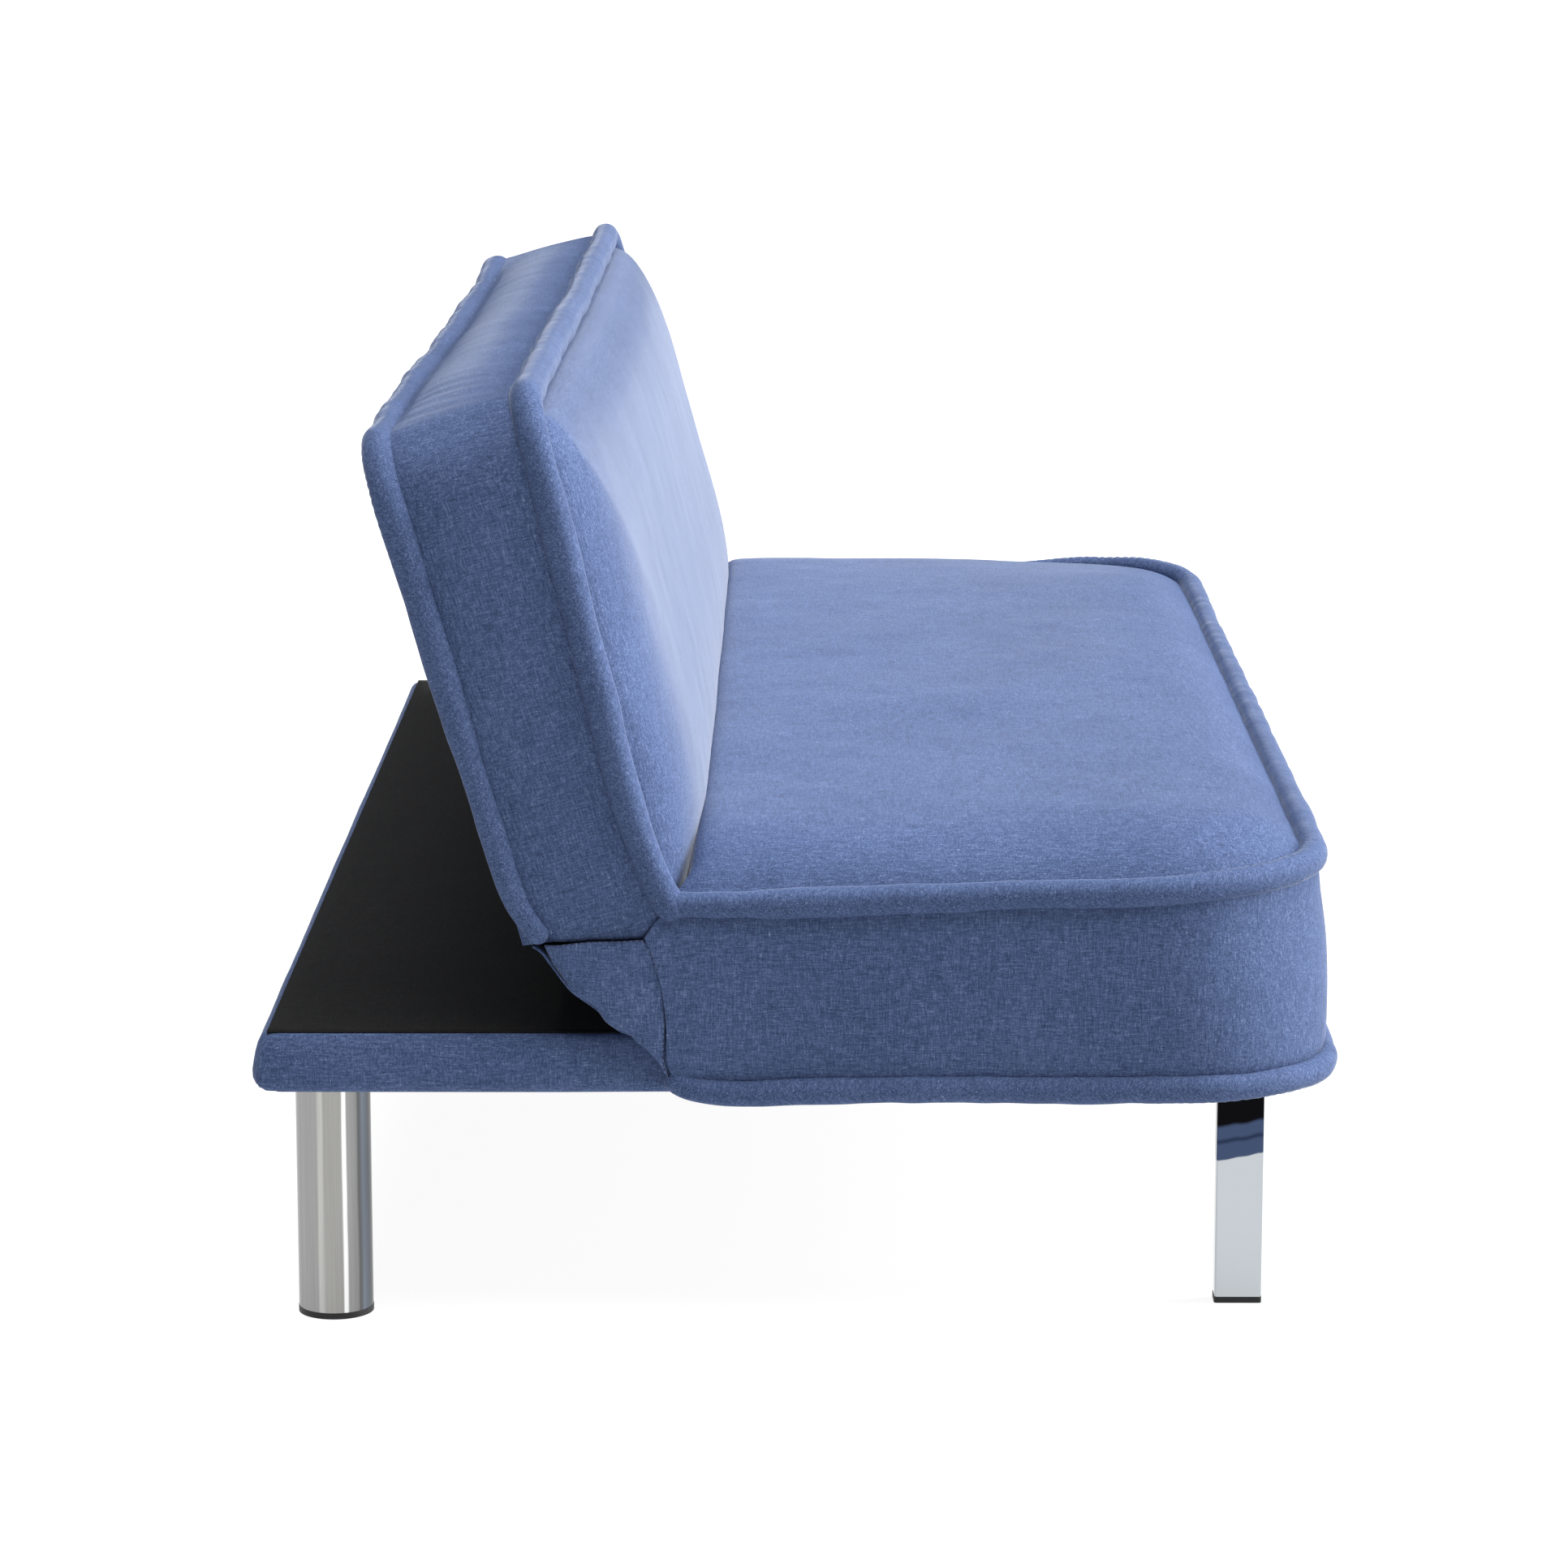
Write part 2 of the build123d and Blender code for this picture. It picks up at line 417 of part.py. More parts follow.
def nt(n, x):
    return (nvec[0] * n + tvec[0] * x, nvec[1] * n + tvec[1] * x)


PAWL_PIV = at(nt(32.5, 24.0))
PAWL_PIN_R = 3.0
pawl = plate_x(WHEEL_X[0] + 0.3, WHEEL_X[1] - 0.3,
               [at(nt(29.5, 24)), at(nt(29.5, 2)), at(nt(24.6, 1.6)), at(nt(24.6, -1.6)), at(nt(29.5, -3.0)),
                at(nt(35.5, -3.0)), at(nt(35.5, 24))])
pawl = pawl + cyl_x(WHEEL_X[0] + 0.3, WHEEL_X[1] - 0.3, PAWL_PIV[0], PAWL_PIV[1], 6.0)
pawl = pawl - cyl_x(WHEEL_X[0] - 1, WHEEL_X[1] + 1, PAWL_PIV[0], PAWL_PIV[1], PAWL_PIN_R + RUN_GAP)
leaf = leaf - cyl_x(LEAF_X[0] - 1, LEAF_X[1] + 1, PAWL_PIV[0], PAWL_PIV[1], PAWL_PIN_R)
pawl_pin = cyl_x(LEAF_X[0] + 0.2, WHEEL_X[1] + 0.5, PAWL_PIV[0], PAWL_PIV[1], PAWL_PIN_R - 0.005) \
    + cyl_x(WHEEL_X[1] + 0.5, WHEEL_X[1] + 2.5, PAWL_PIV[0], PAWL_PIV[1], 5.0) \
    + cyl_x(LEAF_X[1], WHEEL_X[0] - 0.2, PAWL_PIV[0], PAWL_PIV[1], 4.5)
# flat spring that bears on the pawl's outer edge
spring = plate_x(WHEEL_X[0] + 0.6, WHEEL_X[1] - 0.6,
                 [at(nt(36.0, -4)), at(nt(36.9, -4)), at(nt(38.9, 6)), at(nt(38.9, 14)), at(nt(38.0, 14)), at(nt(38.0, 6.2))])
post_c = at(nt(41.3, 10.0))
post = cyl_x(LEAF_X[1], WHEEL_X[1], post_c[0], post_c[1], 2.4)
spring = spring + post

# moving arm: a disc on the pivot and a shank out to the back's end rail
arm_pts = [local(PIVOT_S + 24, 0), local(PIVOT_S + 50, -30), local(PIVOT_S + 62, -66), local(190, -68), local(190, -91),
           local(40, -91), local(34, -62), local(PIVOT_S + 8, -28)]
arm = plate_x(*ARM_X, [at(p) for p in arm_pts]) + cyl_x(*ARM_X, PIVOT_Y, PIVOT_Z, 25)
# ratchet wheel with three notches: sitting, half way and flat
wheel = cyl_x(*WHEEL_X, PIVOT_Y, PIVOT_Z, WHEEL_R)


def notch(a0, a1, half, r0):
    pts = []
    c0, c1 = radians(a0), radians(a1)
    for c, sg in ((c0, -1), (c1, 1)):
        tv = (-sin(c), cos(c))
        nv = (cos(c), sin(c))
        q = [(nv[0] * r0 + sg * tv[0] * half, nv[1] * r0 + sg * tv[1] * half),
             (nv[0] * 30 + sg * tv[0] * (half + 1.5), nv[1] * 30 + sg * tv[1] * (half + 1.5))]
        pts += q if sg < 0 else q[::-1]
    return plate_x(WHEEL_X[0] - 1, WHEEL_X[1] + 1, [at(p) for p in pts])


wheel = wheel - notch(235 - FORWARD_TRIP - 1, 235, 3.4, 18.6)
wheel = wheel - notch(235 + CLICK, 235 + CLICK, 3.6, 18.6)
wheel = wheel - notch(235 + FLAT_ANGLE, 235 + FLAT_ANGLE, 3.6, 18.6)
bore = cyl_x(ARM_X[0] - 2, WHEEL_X[1] + 2, PIVOT_Y, PIVOT_Z, PIN_R + RUN_GAP)
arm = arm - bore
wheel = wheel - bore

pin = cyl_x(LEAF_X[0] - 1.5, WHEEL_X[1] + 2, PIVOT_Y, PIVOT_Z, PIN_R) \
    + cyl_x(LEAF_X[0] - 4.5, LEAF_X[0] - 0.2, PIVOT_Y, PIVOT_Z, 8.5) \
    + cyl_x(WHEEL_X[1] + 0.5, WHEEL_X[1] + 4.0, PIVOT_Y, PIVOT_Z, 8.0)

# bolts of the leaf into the seat's end rail and of the arm into the back's
leaf_bolts, arm_bolts = [], []
BOLT_R = 3.0
for (y, z) in ((24, 262), (52, 262), (80, 262)):
    leaf = leaf - cyl_x(LEAF_X[0] - 1, LEAF_X[1] + 1, y, z, BOLT_R + 0.3)
    leaf_bolts.append(cyl_x(PX0 - 17.8, LEAF_X[1], y, z, BOLT_R) + cyl_x(LEAF_X[1], LEAF_X[1] + 2.8, y, z, 5.5))
for sl in (80, 125, 170):
    p = at(local(sl, -80))
    arm = arm - cyl_x(ARM_X[0] - 1, ARM_X[1] + 1, p[0], p[1], BOLT_R + 0.3)
    arm_bolts.append(cyl_x(ARM_X[0] - 18, ARM_X[1], p[0], p[1], BOLT_R) + cyl_x(ARM_X[1], ARM_X[1] + 2.8, p[0], p[1], 5.5))


def bolt_holes(shape, bolts):
    for b in bolts:
        bb = b.bounding_box()
        cy, cz = (bb.min.Y + bb.max.Y) / 2, (bb.min.Z + bb.max.Z) / 2
        shape = shape - cyl_x(bb.min.X - 0.5, bb.max.X + 0.5, cy, cz, BOLT_R + RUN_GAP)
    return shape


nodes["seat_end_rail_left"] = bolt_holes(nodes["seat_end_rail_left"], leaf_bolts)
nodes["seat_end_rail_right"] = bolt_holes(nodes["seat_end_rail_right"], [mirror_x(b) for b in leaf_bolts])
nodes["back_end_rail_left"] = bolt_holes(nodes["back_end_rail_left"], arm_bolts)
nodes["back_end_rail_right"] = bolt_holes(nodes["back_end_rail_right"], [mirror_x(b) for b in arm_bolts])

nodes["hinge_leaf_left"] = leaf
nodes["hinge_leaf_right"] = mirror_x(leaf)
arm = arm + wheel                       # the wheel is welded to the arm
nodes["hinge_arm_left"] = arm
nodes["hinge_arm_right"] = mirror_x(arm)
nodes["hinge_pin_left"] = pin
nodes["hinge_pin_right"] = mirror_x(pin)
nodes["pawl_left"] = pawl
nodes["pawl_right"] = mirror_x(pawl)
nodes["pawl_pins"] = group([pawl_pin, mirror_x(pawl_pin)])
nodes["pawl_springs"] = group([spring, mirror_x(spring)])
nodes["hinge_leaf_bolts"] = group(leaf_bolts + [mirror_x(b) for b in leaf_bolts])
nodes["hinge_arm_bolts"] = group(arm_bolts + [mirror_x(b) for b in arm_bolts])

# --------------------------------------------------- the fabric side webs
web = plate_x(-834.6, -833.0, [(98.5, 209), (118, 212), (150, 240), (176, 262), (206, 300), (209, 311), (134, 314.5), (122, 300), (112, 262), (98.5, 240)])
nodes["side_web_left"] = web
nodes["side_web_right"] = mirror_x(web)


def flat(sh):
    """One compound of plain solids for a node."""
    sol = list(sh.solids()) if hasattr(sh, "solids") else [x for s_ in sh for x in s_.solids()]
    return sol[0] if len(sol) == 1 else Compound(children=sol)


print("pivot at Y %.2f Z %.2f" % (PIVOT_Y, PIVOT_Z))
print("pawl pivot at Y %.2f Z %.2f" % PAWL_PIV)
for name, shape in nodes.items():
    export_step(flat(shape), "parts/%s.step" % name)
print(len(nodes), "nodes")
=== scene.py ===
import math
from math import sin, cos, pi, radians, exp

import bpy
import numpy as np
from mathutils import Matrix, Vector


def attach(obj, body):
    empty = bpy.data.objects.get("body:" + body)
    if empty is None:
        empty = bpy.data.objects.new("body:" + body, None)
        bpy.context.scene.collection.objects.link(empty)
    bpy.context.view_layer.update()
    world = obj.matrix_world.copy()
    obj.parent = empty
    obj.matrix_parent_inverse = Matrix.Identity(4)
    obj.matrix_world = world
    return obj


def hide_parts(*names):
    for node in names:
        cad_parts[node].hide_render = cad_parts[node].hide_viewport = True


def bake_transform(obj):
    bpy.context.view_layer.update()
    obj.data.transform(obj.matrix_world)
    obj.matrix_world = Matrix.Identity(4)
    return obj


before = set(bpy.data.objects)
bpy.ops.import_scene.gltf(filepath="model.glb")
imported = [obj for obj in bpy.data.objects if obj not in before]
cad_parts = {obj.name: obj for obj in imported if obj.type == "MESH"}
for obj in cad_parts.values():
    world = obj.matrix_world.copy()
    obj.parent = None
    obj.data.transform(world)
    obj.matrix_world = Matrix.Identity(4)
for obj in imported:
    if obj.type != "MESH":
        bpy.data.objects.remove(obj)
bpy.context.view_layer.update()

# ------------------------------------------------------------------ numbers (mm)
T = radians(16.5)                      # slope of the back
ST, CT = sin(T), cos(T)
BACK_Y, BACK_Z = 132.0, 318.0          # lower corner line of the back
SEAM_Y, SEAM_Z, SEAM_RISE = 81.0, 345.5, 0.030
DECK_Z = 238.0

S_R = 11.5                             # seat rolls
B_R = 12.5                             # back rolls


def seam(x, y, h):
    """Seat's upper seam frame: y rearwards from Y 81, h above the seam plane."""
    n = math.hypot(1.0, SEAM_RISE)
    x, y, h = np.broadcast_arrays(np.asarray(x, float), np.asarray(y, float), np.asarray(h, float))
    return np.stack([x, SEAM_Y + y / n + h * SEAM_RISE / n, SEAM_Z - y * SEAM_RISE / n + h / n], -1)


def back(x, s, f):
    """Back's frame: s up the slope, f forward of the corner line."""
    x, s, f = np.broadcast_arrays(np.asarray(x, float), np.asarray(s, float), np.asarray(f, float))
    return np.stack([x, BACK_Y + s * ST - f * CT, BACK_Z + s * CT + f * ST], -1)


def flat(x, y, z):
    x, y, z = np.broadcast_arrays(np.asarray(x, float), np.asarray(y, float), np.asarray(z, float))
    return np.stack([x, y, z], -1)


# ------------------------------------------------------------------ noise
def vnoise(x, seed):
    tab = np.random.RandomState(seed).uniform(-1, 1, 2048)
    x = np.asarray(x, float)
    i = np.floor(x).astype(int)
    f = x - i
    f = f * f * (3 - 2 * f)
    return tab[i % 2048] * (1 - f) + tab[(i + 1) % 2048] * f


def vnoise2(x, y, seed):
    tab = np.random.RandomState(seed).uniform(-1, 1, (256, 256))
    x, y = np.asarray(x, float), np.asarray(y, float)
    i, j = np.floor(x).astype(int), np.floor(y).astype(int)
    f, g = x - i, y - j
    f, g = f * f * (3 - 2 * f), g * g * (3 - 2 * g)
    a = tab[i % 256, j % 256] * (1 - f) + tab[(i + 1) % 256, j % 256] * f
    b = tab[i % 256, (j + 1) % 256] * (1 - f) + tab[(i + 1) % 256, (j + 1) % 256] * f
    return a * (1 - g) + b * g


def bump(x, c, w):
    return np.exp(-((np.asarray(x, float) - c) / w) ** 2)


# ------------------------------------------------------------------ mesh helpers
def make(name, verts, faces, mat, smooth=True):
    me = bpy.data.meshes.new(name)
    me.from_pydata([tuple(v) for v in np.asarray(verts, float) / 1000.0], [], [tuple(int(i) for i in f) for f in faces])
    me.validate(verbose=False)
    me.update()
    ob = bpy.data.objects.new(name, me)
    bpy.context.scene.collection.objects.link(ob)
    me.materials.append(mat)
    if smooth:
        me.polygons.foreach_set("use_smooth", [True] * len(me.polygons))
    return ob


def fix_normals(ob):
    import bmesh
    bm = bmesh.new()
    bm.from_mesh(ob.data)
    bmesh.ops.recalc_face_normals(bm, faces=bm.faces)
    bm.to_mesh(ob.data)
    bm.free()
    ob.data.update()
    return ob


def grid_faces(nu, nv, base=0, flip=False, wrap_v=False):
    out = []
    for i in range(nu - 1):
        for j in range(nv if wrap_v else nv - 1):
            j2 = (j + 1) % nv
            a, b, c, d = i * nv + j, (i + 1) * nv + j, (i + 1) * nv + j2, i * nv + j2
            q = (a, b, c, d) if not flip else (d, c, b, a)
            out.append(tuple(base + k for k in q))
    return out


def solidify(ob, mm, offset=-1.0):
    m = ob.modifiers.new("thickness", "SOLIDIFY")
    m.thickness = mm / 1000.0
    m.offset = offset
    m.use_even_offset = False
    return ob


def apply_mods(ob):
    dg = bpy.context.evaluated_depsgraph_get()
    me = bpy.data.meshes.new_from_object(ob.evaluated_get(dg))
    old = ob.data
    ob.modifiers.clear()
    ob.data = me
    me.name = old.name
    return ob


# ------------------------------------------------------------------ rolls (fat welts)
def arc_u(hx, y_open, y_turn, rad, step=3.5):
    """Points of a U: up one end at -hx, across at y_turn, down the other. Returns x, y, along, corner weight."""
    sg = 1.0 if y_turn > y_open else -1.0
    pts, cor = [], []
    n = max(2, int(abs(y_turn - y_open - sg * rad) / step))
    for k in range(n):
        pts.append((-hx, y_open + (y_turn - sg * rad - y_open) * k / n)); cor.append(0.0)
    n = max(8, int(rad * pi / 2 / step))
    for k in range(n + 1):
        a = pi / 2 * k / n
        pts.append((-hx + rad - rad * cos(a), y_turn - sg * rad + sg * rad * sin(a))); cor.append(1.0)
    n = max(2, int((2 * hx - 2 * rad) / step))
    for k in range(1, n):
        pts.append((-hx + rad + (2 * hx - 2 * rad) * k / n, y_turn)); cor.append(0.0)
    n = max(8, int(rad * pi / 2 / step))
    for k in range(n + 1):
        a = pi / 2 * k / n
        pts.append((hx - rad + rad * sin(a), y_turn - sg * rad + sg * rad * cos(a))); cor.append(1.0)
    n = max(2, int(abs(y_turn - y_open - sg * rad) / step))
    for k in range(1, n + 1):
        pts.append((hx, y_turn - sg * rad + (y_open - y_turn + sg * rad) * k / n)); cor.append(0.0)
    p = np.array(pts)
    al = np.concatenate([[0], np.cumsum(np.hypot(*np.diff(p, axis=0).T))])
    c = np.array(cor)
    k = np.ones(31) / 31
    c = np.convolve(np.pad(c, 15, mode="edge"), k, mode="valid")
    return p[:, 0], p[:, 1], al, c


def tube(name, P, up, rfun, mat, m=28, cap=7):
    """Tube along the points P. Angle 0 looks outward (away from the U's inside), 90 deg along up."""
    P = np.asarray(P, float)
    t = np.gradient(P, axis=0)
    t /= np.linalg.norm(t, axis=1)[:, None]
    up = np.asarray(up, float)
    up = up / np.linalg.norm(up)
    out = np.cross(up, t)
    out /= np.linalg.norm(out, axis=1)[:, None]
    upn = np.cross(t, out)
    al = np.concatenate([[0], np.cumsum(np.linalg.norm(np.diff(P, axis=0), axis=1))])
    th = np.arange(m) * 2 * pi / m
    rings = []
    r0 = rfun(al[:1], th)[0]
    for k in range(cap, 0, -1):
        a = pi / 2 * k / (cap + 0.35)
        c = P[0] - t[0] * r0.mean() * sin(a) * 0.85
        rings.append(c + (r0 * cos(a))[:, None] * (np.cos(th)[:, None] * out[0] + np.sin(th)[:, None] * upn[0]))
    R = rfun(al, th)
    for i in range(len(P)):
        rings.append(P[i] + R[i][:, None] * (np.cos(th)[:, None] * out[i] + np.sin(th)[:, None] * upn[i]))
    r1 = R[-1]
    for k in range(1, cap + 1):
        a = pi / 2 * k / (cap + 0.35)
        c = P[-1] + t[-1] * r1.mean() * sin(a) * 0.85
        rings.append(c + (r1 * cos(a))[:, None] * (np.cos(th)[:, None] * out[-1] + np.sin(th)[:, None] * upn[-1]))
    V = np.concatenate(rings)
    n = len(rings)
    F = grid_faces(n, m, wrap_v=True)
    a0 = rings[0].mean(0) - t[0] * 0.3
    a1 = rings[-1].mean(0) + t[-1] * 0.3
    V = np.vstack([V, a0, a1])
    i0, i1 = n * m, n * m + 1
    for j in range(m):
        F.append((i0, j, (j + 1) % m))
        F.append((i1, (n - 1) * m + (j + 1) % m, (n - 1) * m + j))
    ob = make(name, V, F, mat)
    return fix_normals(ob)


def welt(r0, seed, al_total, corner=None, al_c=None, wav=0.055, puck=0.9, pitch=9.0, side=pi, ends=(1.0, 1.0)):
    """Radius of a soft welt: slow waves, small lumps, and gathers at the corners."""
    def f(al, th):
        al = np.asarray(al, float)
        A, H = al[:, None], th[None, :]
        r = r0 * (1 + wav * vnoise(A / 46.0 + 3, seed) + 0.035 * vnoise(A / 19.0 + 9, seed + 1)
                  + 0.03 * vnoise2(A / 30.0 + 5, H * 1.2 + 0 * A + 7, seed + 2) * np.sin(H / 2) ** 2)
        if corner is not None:
            c = np.interp(al, al_c, corner)[:, None]
            ph = 2 * pi * A / pitch + 1.7 * vnoise(A / 23.0, seed + 3)
            gate = 0.35 + 0.65 * (0.5 + 0.5 * vnoise(A / 31.0, seed + 4))
            r = r + puck * c * gate * (np.abs(np.sin(ph / 2)) - 0.6) * (0.25 + 0.75 * np.clip(np.cos(H - side), 0, 1) ** 1.0)
        # weave lines of the seam allowance: a flat where the roll is sewn down
        if ends[0] != 1.0:
            r = r * (ends[0] + (1 - ends[0]) * np.clip(A / 90.0, 0, 1) ** 0.7)
        if ends[1] != 1.0:
            r = r * (ends[1] + (1 - ends[1]) * np.clip((al_total - A) / 90.0, 0, 1) ** 0.7)
        return r
    return f


# ------------------------------------------------------------------ closed cushions
def plan(cols, rows, a, yo, yt, rad):
    """Grid points of a rectangle |x|<=a, yo..yt whose two corners at yt are rounded.
    cols run -2..2 and rows 0..2: the part over 1 is the corner square."""
    C, Q = np.meshgrid(cols, rows, indexing="ij")
    sg = 1.0 if yt > yo else -1.0
    L = abs(yt - yo)
    cx = np.clip(np.abs(C) - 1, 0, 1)
    cy = np.clip(Q - 1, 0, 1)
    x0 = np.clip(np.abs(C), 0, 1) * (a - rad)
    y0 = np.clip(Q, 0, 1) * (L - rad)
    r = np.maximum(cx, cy)
    phi = np.where(cx >= cy, (pi / 4) * cy / np.maximum(cx, 1e-9), pi / 2 - (pi / 4) * cx / np.maximum(cy, 1e-9))
    phi = np.where(r < 1e-9, 0, phi)
    both = (cx > 0) & (cy > 0)
    X = np.where(both, x0 + rad * r * np.cos(phi), x0 + rad * cx)
    Y = np.where(both, y0 + rad * r * np.sin(phi), y0 + rad * cy)
    return np.sign(C) * X, yo + sg * Y


def edge_dist(X, Y, a, yo, yt, rad):
    """Distance to the rounded outline at the ends and the far side, and to the open side."""
    sg = 1.0 if yt > yo else -1.0
    L = abs(yt - yo)
    u = np.abs(X) - (a - rad)
    v = (Y - yo) * sg - (L - rad)
    d = np.where((u > 0) & (v > 0), rad - np.hypot(u, v), np.minimum(a - np.abs(X), L - (Y - yo) * sg))
    return np.clip(d, 0, None), np.clip((Y - yo) * sg, 0, None)


def cushion(name, place, cols, rows, top, sides, bottom_h, mat):
    """A closed cushion. top = (a, yo, yt, rad, height function); sides = rings from the top seam down, each
    (a, yo, yt, rad, height function of x, y); the last ring closes on a flat bottom."""
    nu, nv = len(cols), len(rows)
    a, yo, yt, rad, hf = top
    X, Y = plan(cols, rows, a, yo, yt, rad)
    H = hf(X, Y)
    V = [place(X, Y, H).reshape(-1, 3)]
    F = grid_faces(nu, nv)
    idx = np.arange(nu * nv).reshape(nu, nv)
    loop = list(idx[0, :]) + list(idx[1:, -1]) + list(idx[-1, -2::-1]) + list(idx[-2:0:-1, 0])
    li = [(k // nv, k % nv) for k in loop]
    L = len(loop)
    prev = loop
    base = nu * nv
    for (a, yo, yt, rad, hfun) in sides:
        Xr, Yr = plan(cols, rows, a, yo, yt, rad)
        x = np.array([Xr[i, j] for i, j in li])
        y = np.array([Yr[i, j] for i, j in li])
        x, y, h = hfun(x, y)
        V.append(place(x, y, h).reshape(-1, 3))
        cur = list(range(base, base + L))
        base += L
        for k in range(L):
            k2 = (k + 1) % L
            F.append((prev[k], prev[k2], cur[k2], cur[k]))
        prev = cur
    # bottom: same grid as the top, its rim is the last ring
    a, yo, yt, rad, _ = sides[-1]
    Xb, Yb = plan(cols, rows, a, yo, yt, rad)
    Vb = place(Xb, Yb, bottom_h(Xb, Yb)).reshape(-1, 3)
    remap = {}
    for k, (i, j) in enumerate(li):
        remap[i * nv + j] = prev[k]
    keep = [k for k in range(nu * nv) if k not in remap]
    for n, k in enumerate(keep):
        remap[k] = base + n
    V.append(Vb[keep])
    for q in grid_faces(nu, nv, flip=True):
        F.append(tuple(remap[k] for k in q))
    ob = make(name, np.concatenate(V), F, mat)
    return fix_normals(ob)


# ------------------------------------------------------------------ materials
def nodes_of(mat):
    mat.use_nodes = True
    nt = mat.node_tree
    nt.nodes.clear()
    out = nt.nodes.new("ShaderNodeOutputMaterial")
    bs = nt.nodes.new("ShaderNodeBsdfPrincipled")
    nt.links.new(bs.outputs[0], out.inputs[0])
    return nt, bs


def add(nt, kind, **kw):
    n = nt.nodes.new(kind)
    for k, v in kw.items():
        if k.startswith("i_"):
            n.inputs[k[2:].replace("_", " ")].default_value = v
        else:
            setattr(n, k, v)
    return n


def srgb(r, g, b):
    def f(c):
        c /= 255.0
        return c / 12.92 if c <= 0.04045 else ((c + 0.055) / 1.055) ** 2.4
    return (f(r), f(g), f(b), 1.0)


def coords(nt, rot=(0, 0, 0)):
    tc = add(nt, "ShaderNodeTexCoord")
    mp = add(nt, "ShaderNodeMapping")
    mp.inputs["Rotation"].default_value = rot
    nt.links.new(tc.outputs["Object"], mp.inputs["Vector"])
    return mp.outputs["Vector"]


def stretched(nt, vec, scale, detail=2.0, rough=0.5):
    mp = add(nt, "ShaderNodeMapping")
    mp.inputs["Scale"].default_value = scale
    nt.links.new(vec, mp.inputs["Vector"])
    no = add(nt, "ShaderNodeTexNoise")
    no.inputs["Scale"].default_value = 1.0
    no.inputs["Detail"].default_value = detail
    no.inputs["Roughness"].default_value = rough
    nt.links.new(mp.outputs["Vector"], no.inputs["Vector"])
    return no.outputs["Fac"]


def math_node(nt, op, a, b=None, c=None):
    n = add(nt, "ShaderNodeMath", operation=op)
    for k, v in enumerate((a, b, c)):
        if v is None:
            continue
        if isinstance(v, (int, float)):
            n.inputs[k].default_value = v
        else:
            nt.links.new(v, n.inputs[k])
    return n.outputs[0]


def ramp(nt, fac, stops, interp="LINEAR"):
    r = add(nt, "ShaderNodeValToRGB")
    r.color_ramp.interpolation = interp
    el = r.color_ramp.elements
    while len(el) < len(stops):
        el.new(0.5)
    for e, (p, c) in zip(el, stops):
        e.position = p
        e.color = c
    nt.links.new(fac, r.inputs["Fac"])
    return r.outputs["Color"]


def fabric(name, rot=(0, 0, 0), dark=(33, 44, 72), mid=(62, 79, 116), light=(92, 109, 148), fleck=(186, 192, 208),
           sheen=0.26, thread=0.00074, sheen_tint=(0.86, 0.91, 1.0, 1.0), rough=0.85, bump_s=0.35):
    """Woven cloth of mixed dark and pale yarns; short threads run along the three axes of the piece."""
    mat = bpy.data.materials.new(name)
    nt, bs = nodes_of(mat)
    vec = coords(nt, rot)
    f, l = 1.0 / thread, 1.0 / (thread * 9.0)
    a = stretched(nt, vec, (l, f, f), 1.5)
    b = stretched(nt, vec, (f, l, f), 1.5)
    c = stretched(nt, vec, (f, f, l), 1.5)
    s = math_node(nt, "ADD", math_node(nt, "ADD", a, b), c)
    s = math_node(nt, "MULTIPLY", s, 1 / 3.0)
    # larger uneven streaks of the yarn
    f2, l2 = 1.0 / (thread * 2.3), 1.0 / (thread * 24.0)
    d = stretched(nt, vec, (l2, f2, f2), 1.0)
    e = stretched(nt, vec, (f2, l2, f2), 1.0)
    g = stretched(nt, vec, (f2, f2, l2), 1.0)
    s2 = math_node(nt, "MULTIPLY", math_node(nt, "ADD", math_node(nt, "ADD", d, e), g), 1 / 3.0)
    big = stretched(nt, vec, (9.0, 9.0, 9.0), 2.0)
    fac = math_node(nt, "ADD", math_node(nt, "MULTIPLY", s, 0.66), math_node(nt, "MULTIPLY", s2, 0.34))
    fac = math_node(nt, "ADD", fac, math_node(nt, "MULTIPLY_ADD", big, 0.06, -0.03))
    col = ramp(nt, fac, [(0.36, srgb(*dark)), (0.49, srgb(*mid)), (0.60, srgb(*light)), (0.72, srgb(*fleck))])
    nt.links.new(col, bs.inputs["Base Color"])
    bs.inputs["Roughness"].default_value = rough
    bs.inputs["Specular IOR Level"].default_value = 0.25
    bs.inputs["Sheen Weight"].default_value = sheen
    bs.inputs["Sheen Roughness"].default_value = 0.22
    bs.inputs["Sheen Tint"].default_value = sheen_tint
    bp = add(nt, "ShaderNodeBump")
    bp.inputs["Strength"].default_value = bump_s
    bp.inputs["Distance"].default_value = 0.0006
    nt.links.new(s, bp.inputs["Height"])
    nt.links.new(bp.outputs["Normal"], bs.inputs["Normal"])
    return mat


def metal(name, color, rough, streak=(60, 60, 4), amount=0.05, bump_s=0.03, metallic=1.0):
    mat = bpy.data.materials.new(name)
    nt, bs = nodes_of(mat)
    vec = coords(nt)
    n = stretched(nt, vec, streak, 4.0, 0.6)
    r = math_node(nt, "MULTIPLY_ADD", n, amount * 2, rough - amount)
    nt.links.new(r, bs.inputs["Roughness"])
    c = ramp(nt, n, [(0.3, tuple(k * 0.93 for k in color[:3]) + (1,)), (0.7, color)])
    nt.links.new(c, bs.inputs["Base Color"])
    bs.inputs["Metallic"].default_value = metallic
    bp = add(nt, "ShaderNodeBump")
    bp.inputs["Strength"].default_value = bump_s
    bp.inputs["Distance"].default_value = 0.0005
    nt.links.new(n, bp.inputs["Height"])
    nt.links.new(bp.outputs["Normal"], bs.inputs["Normal"])
    return mat


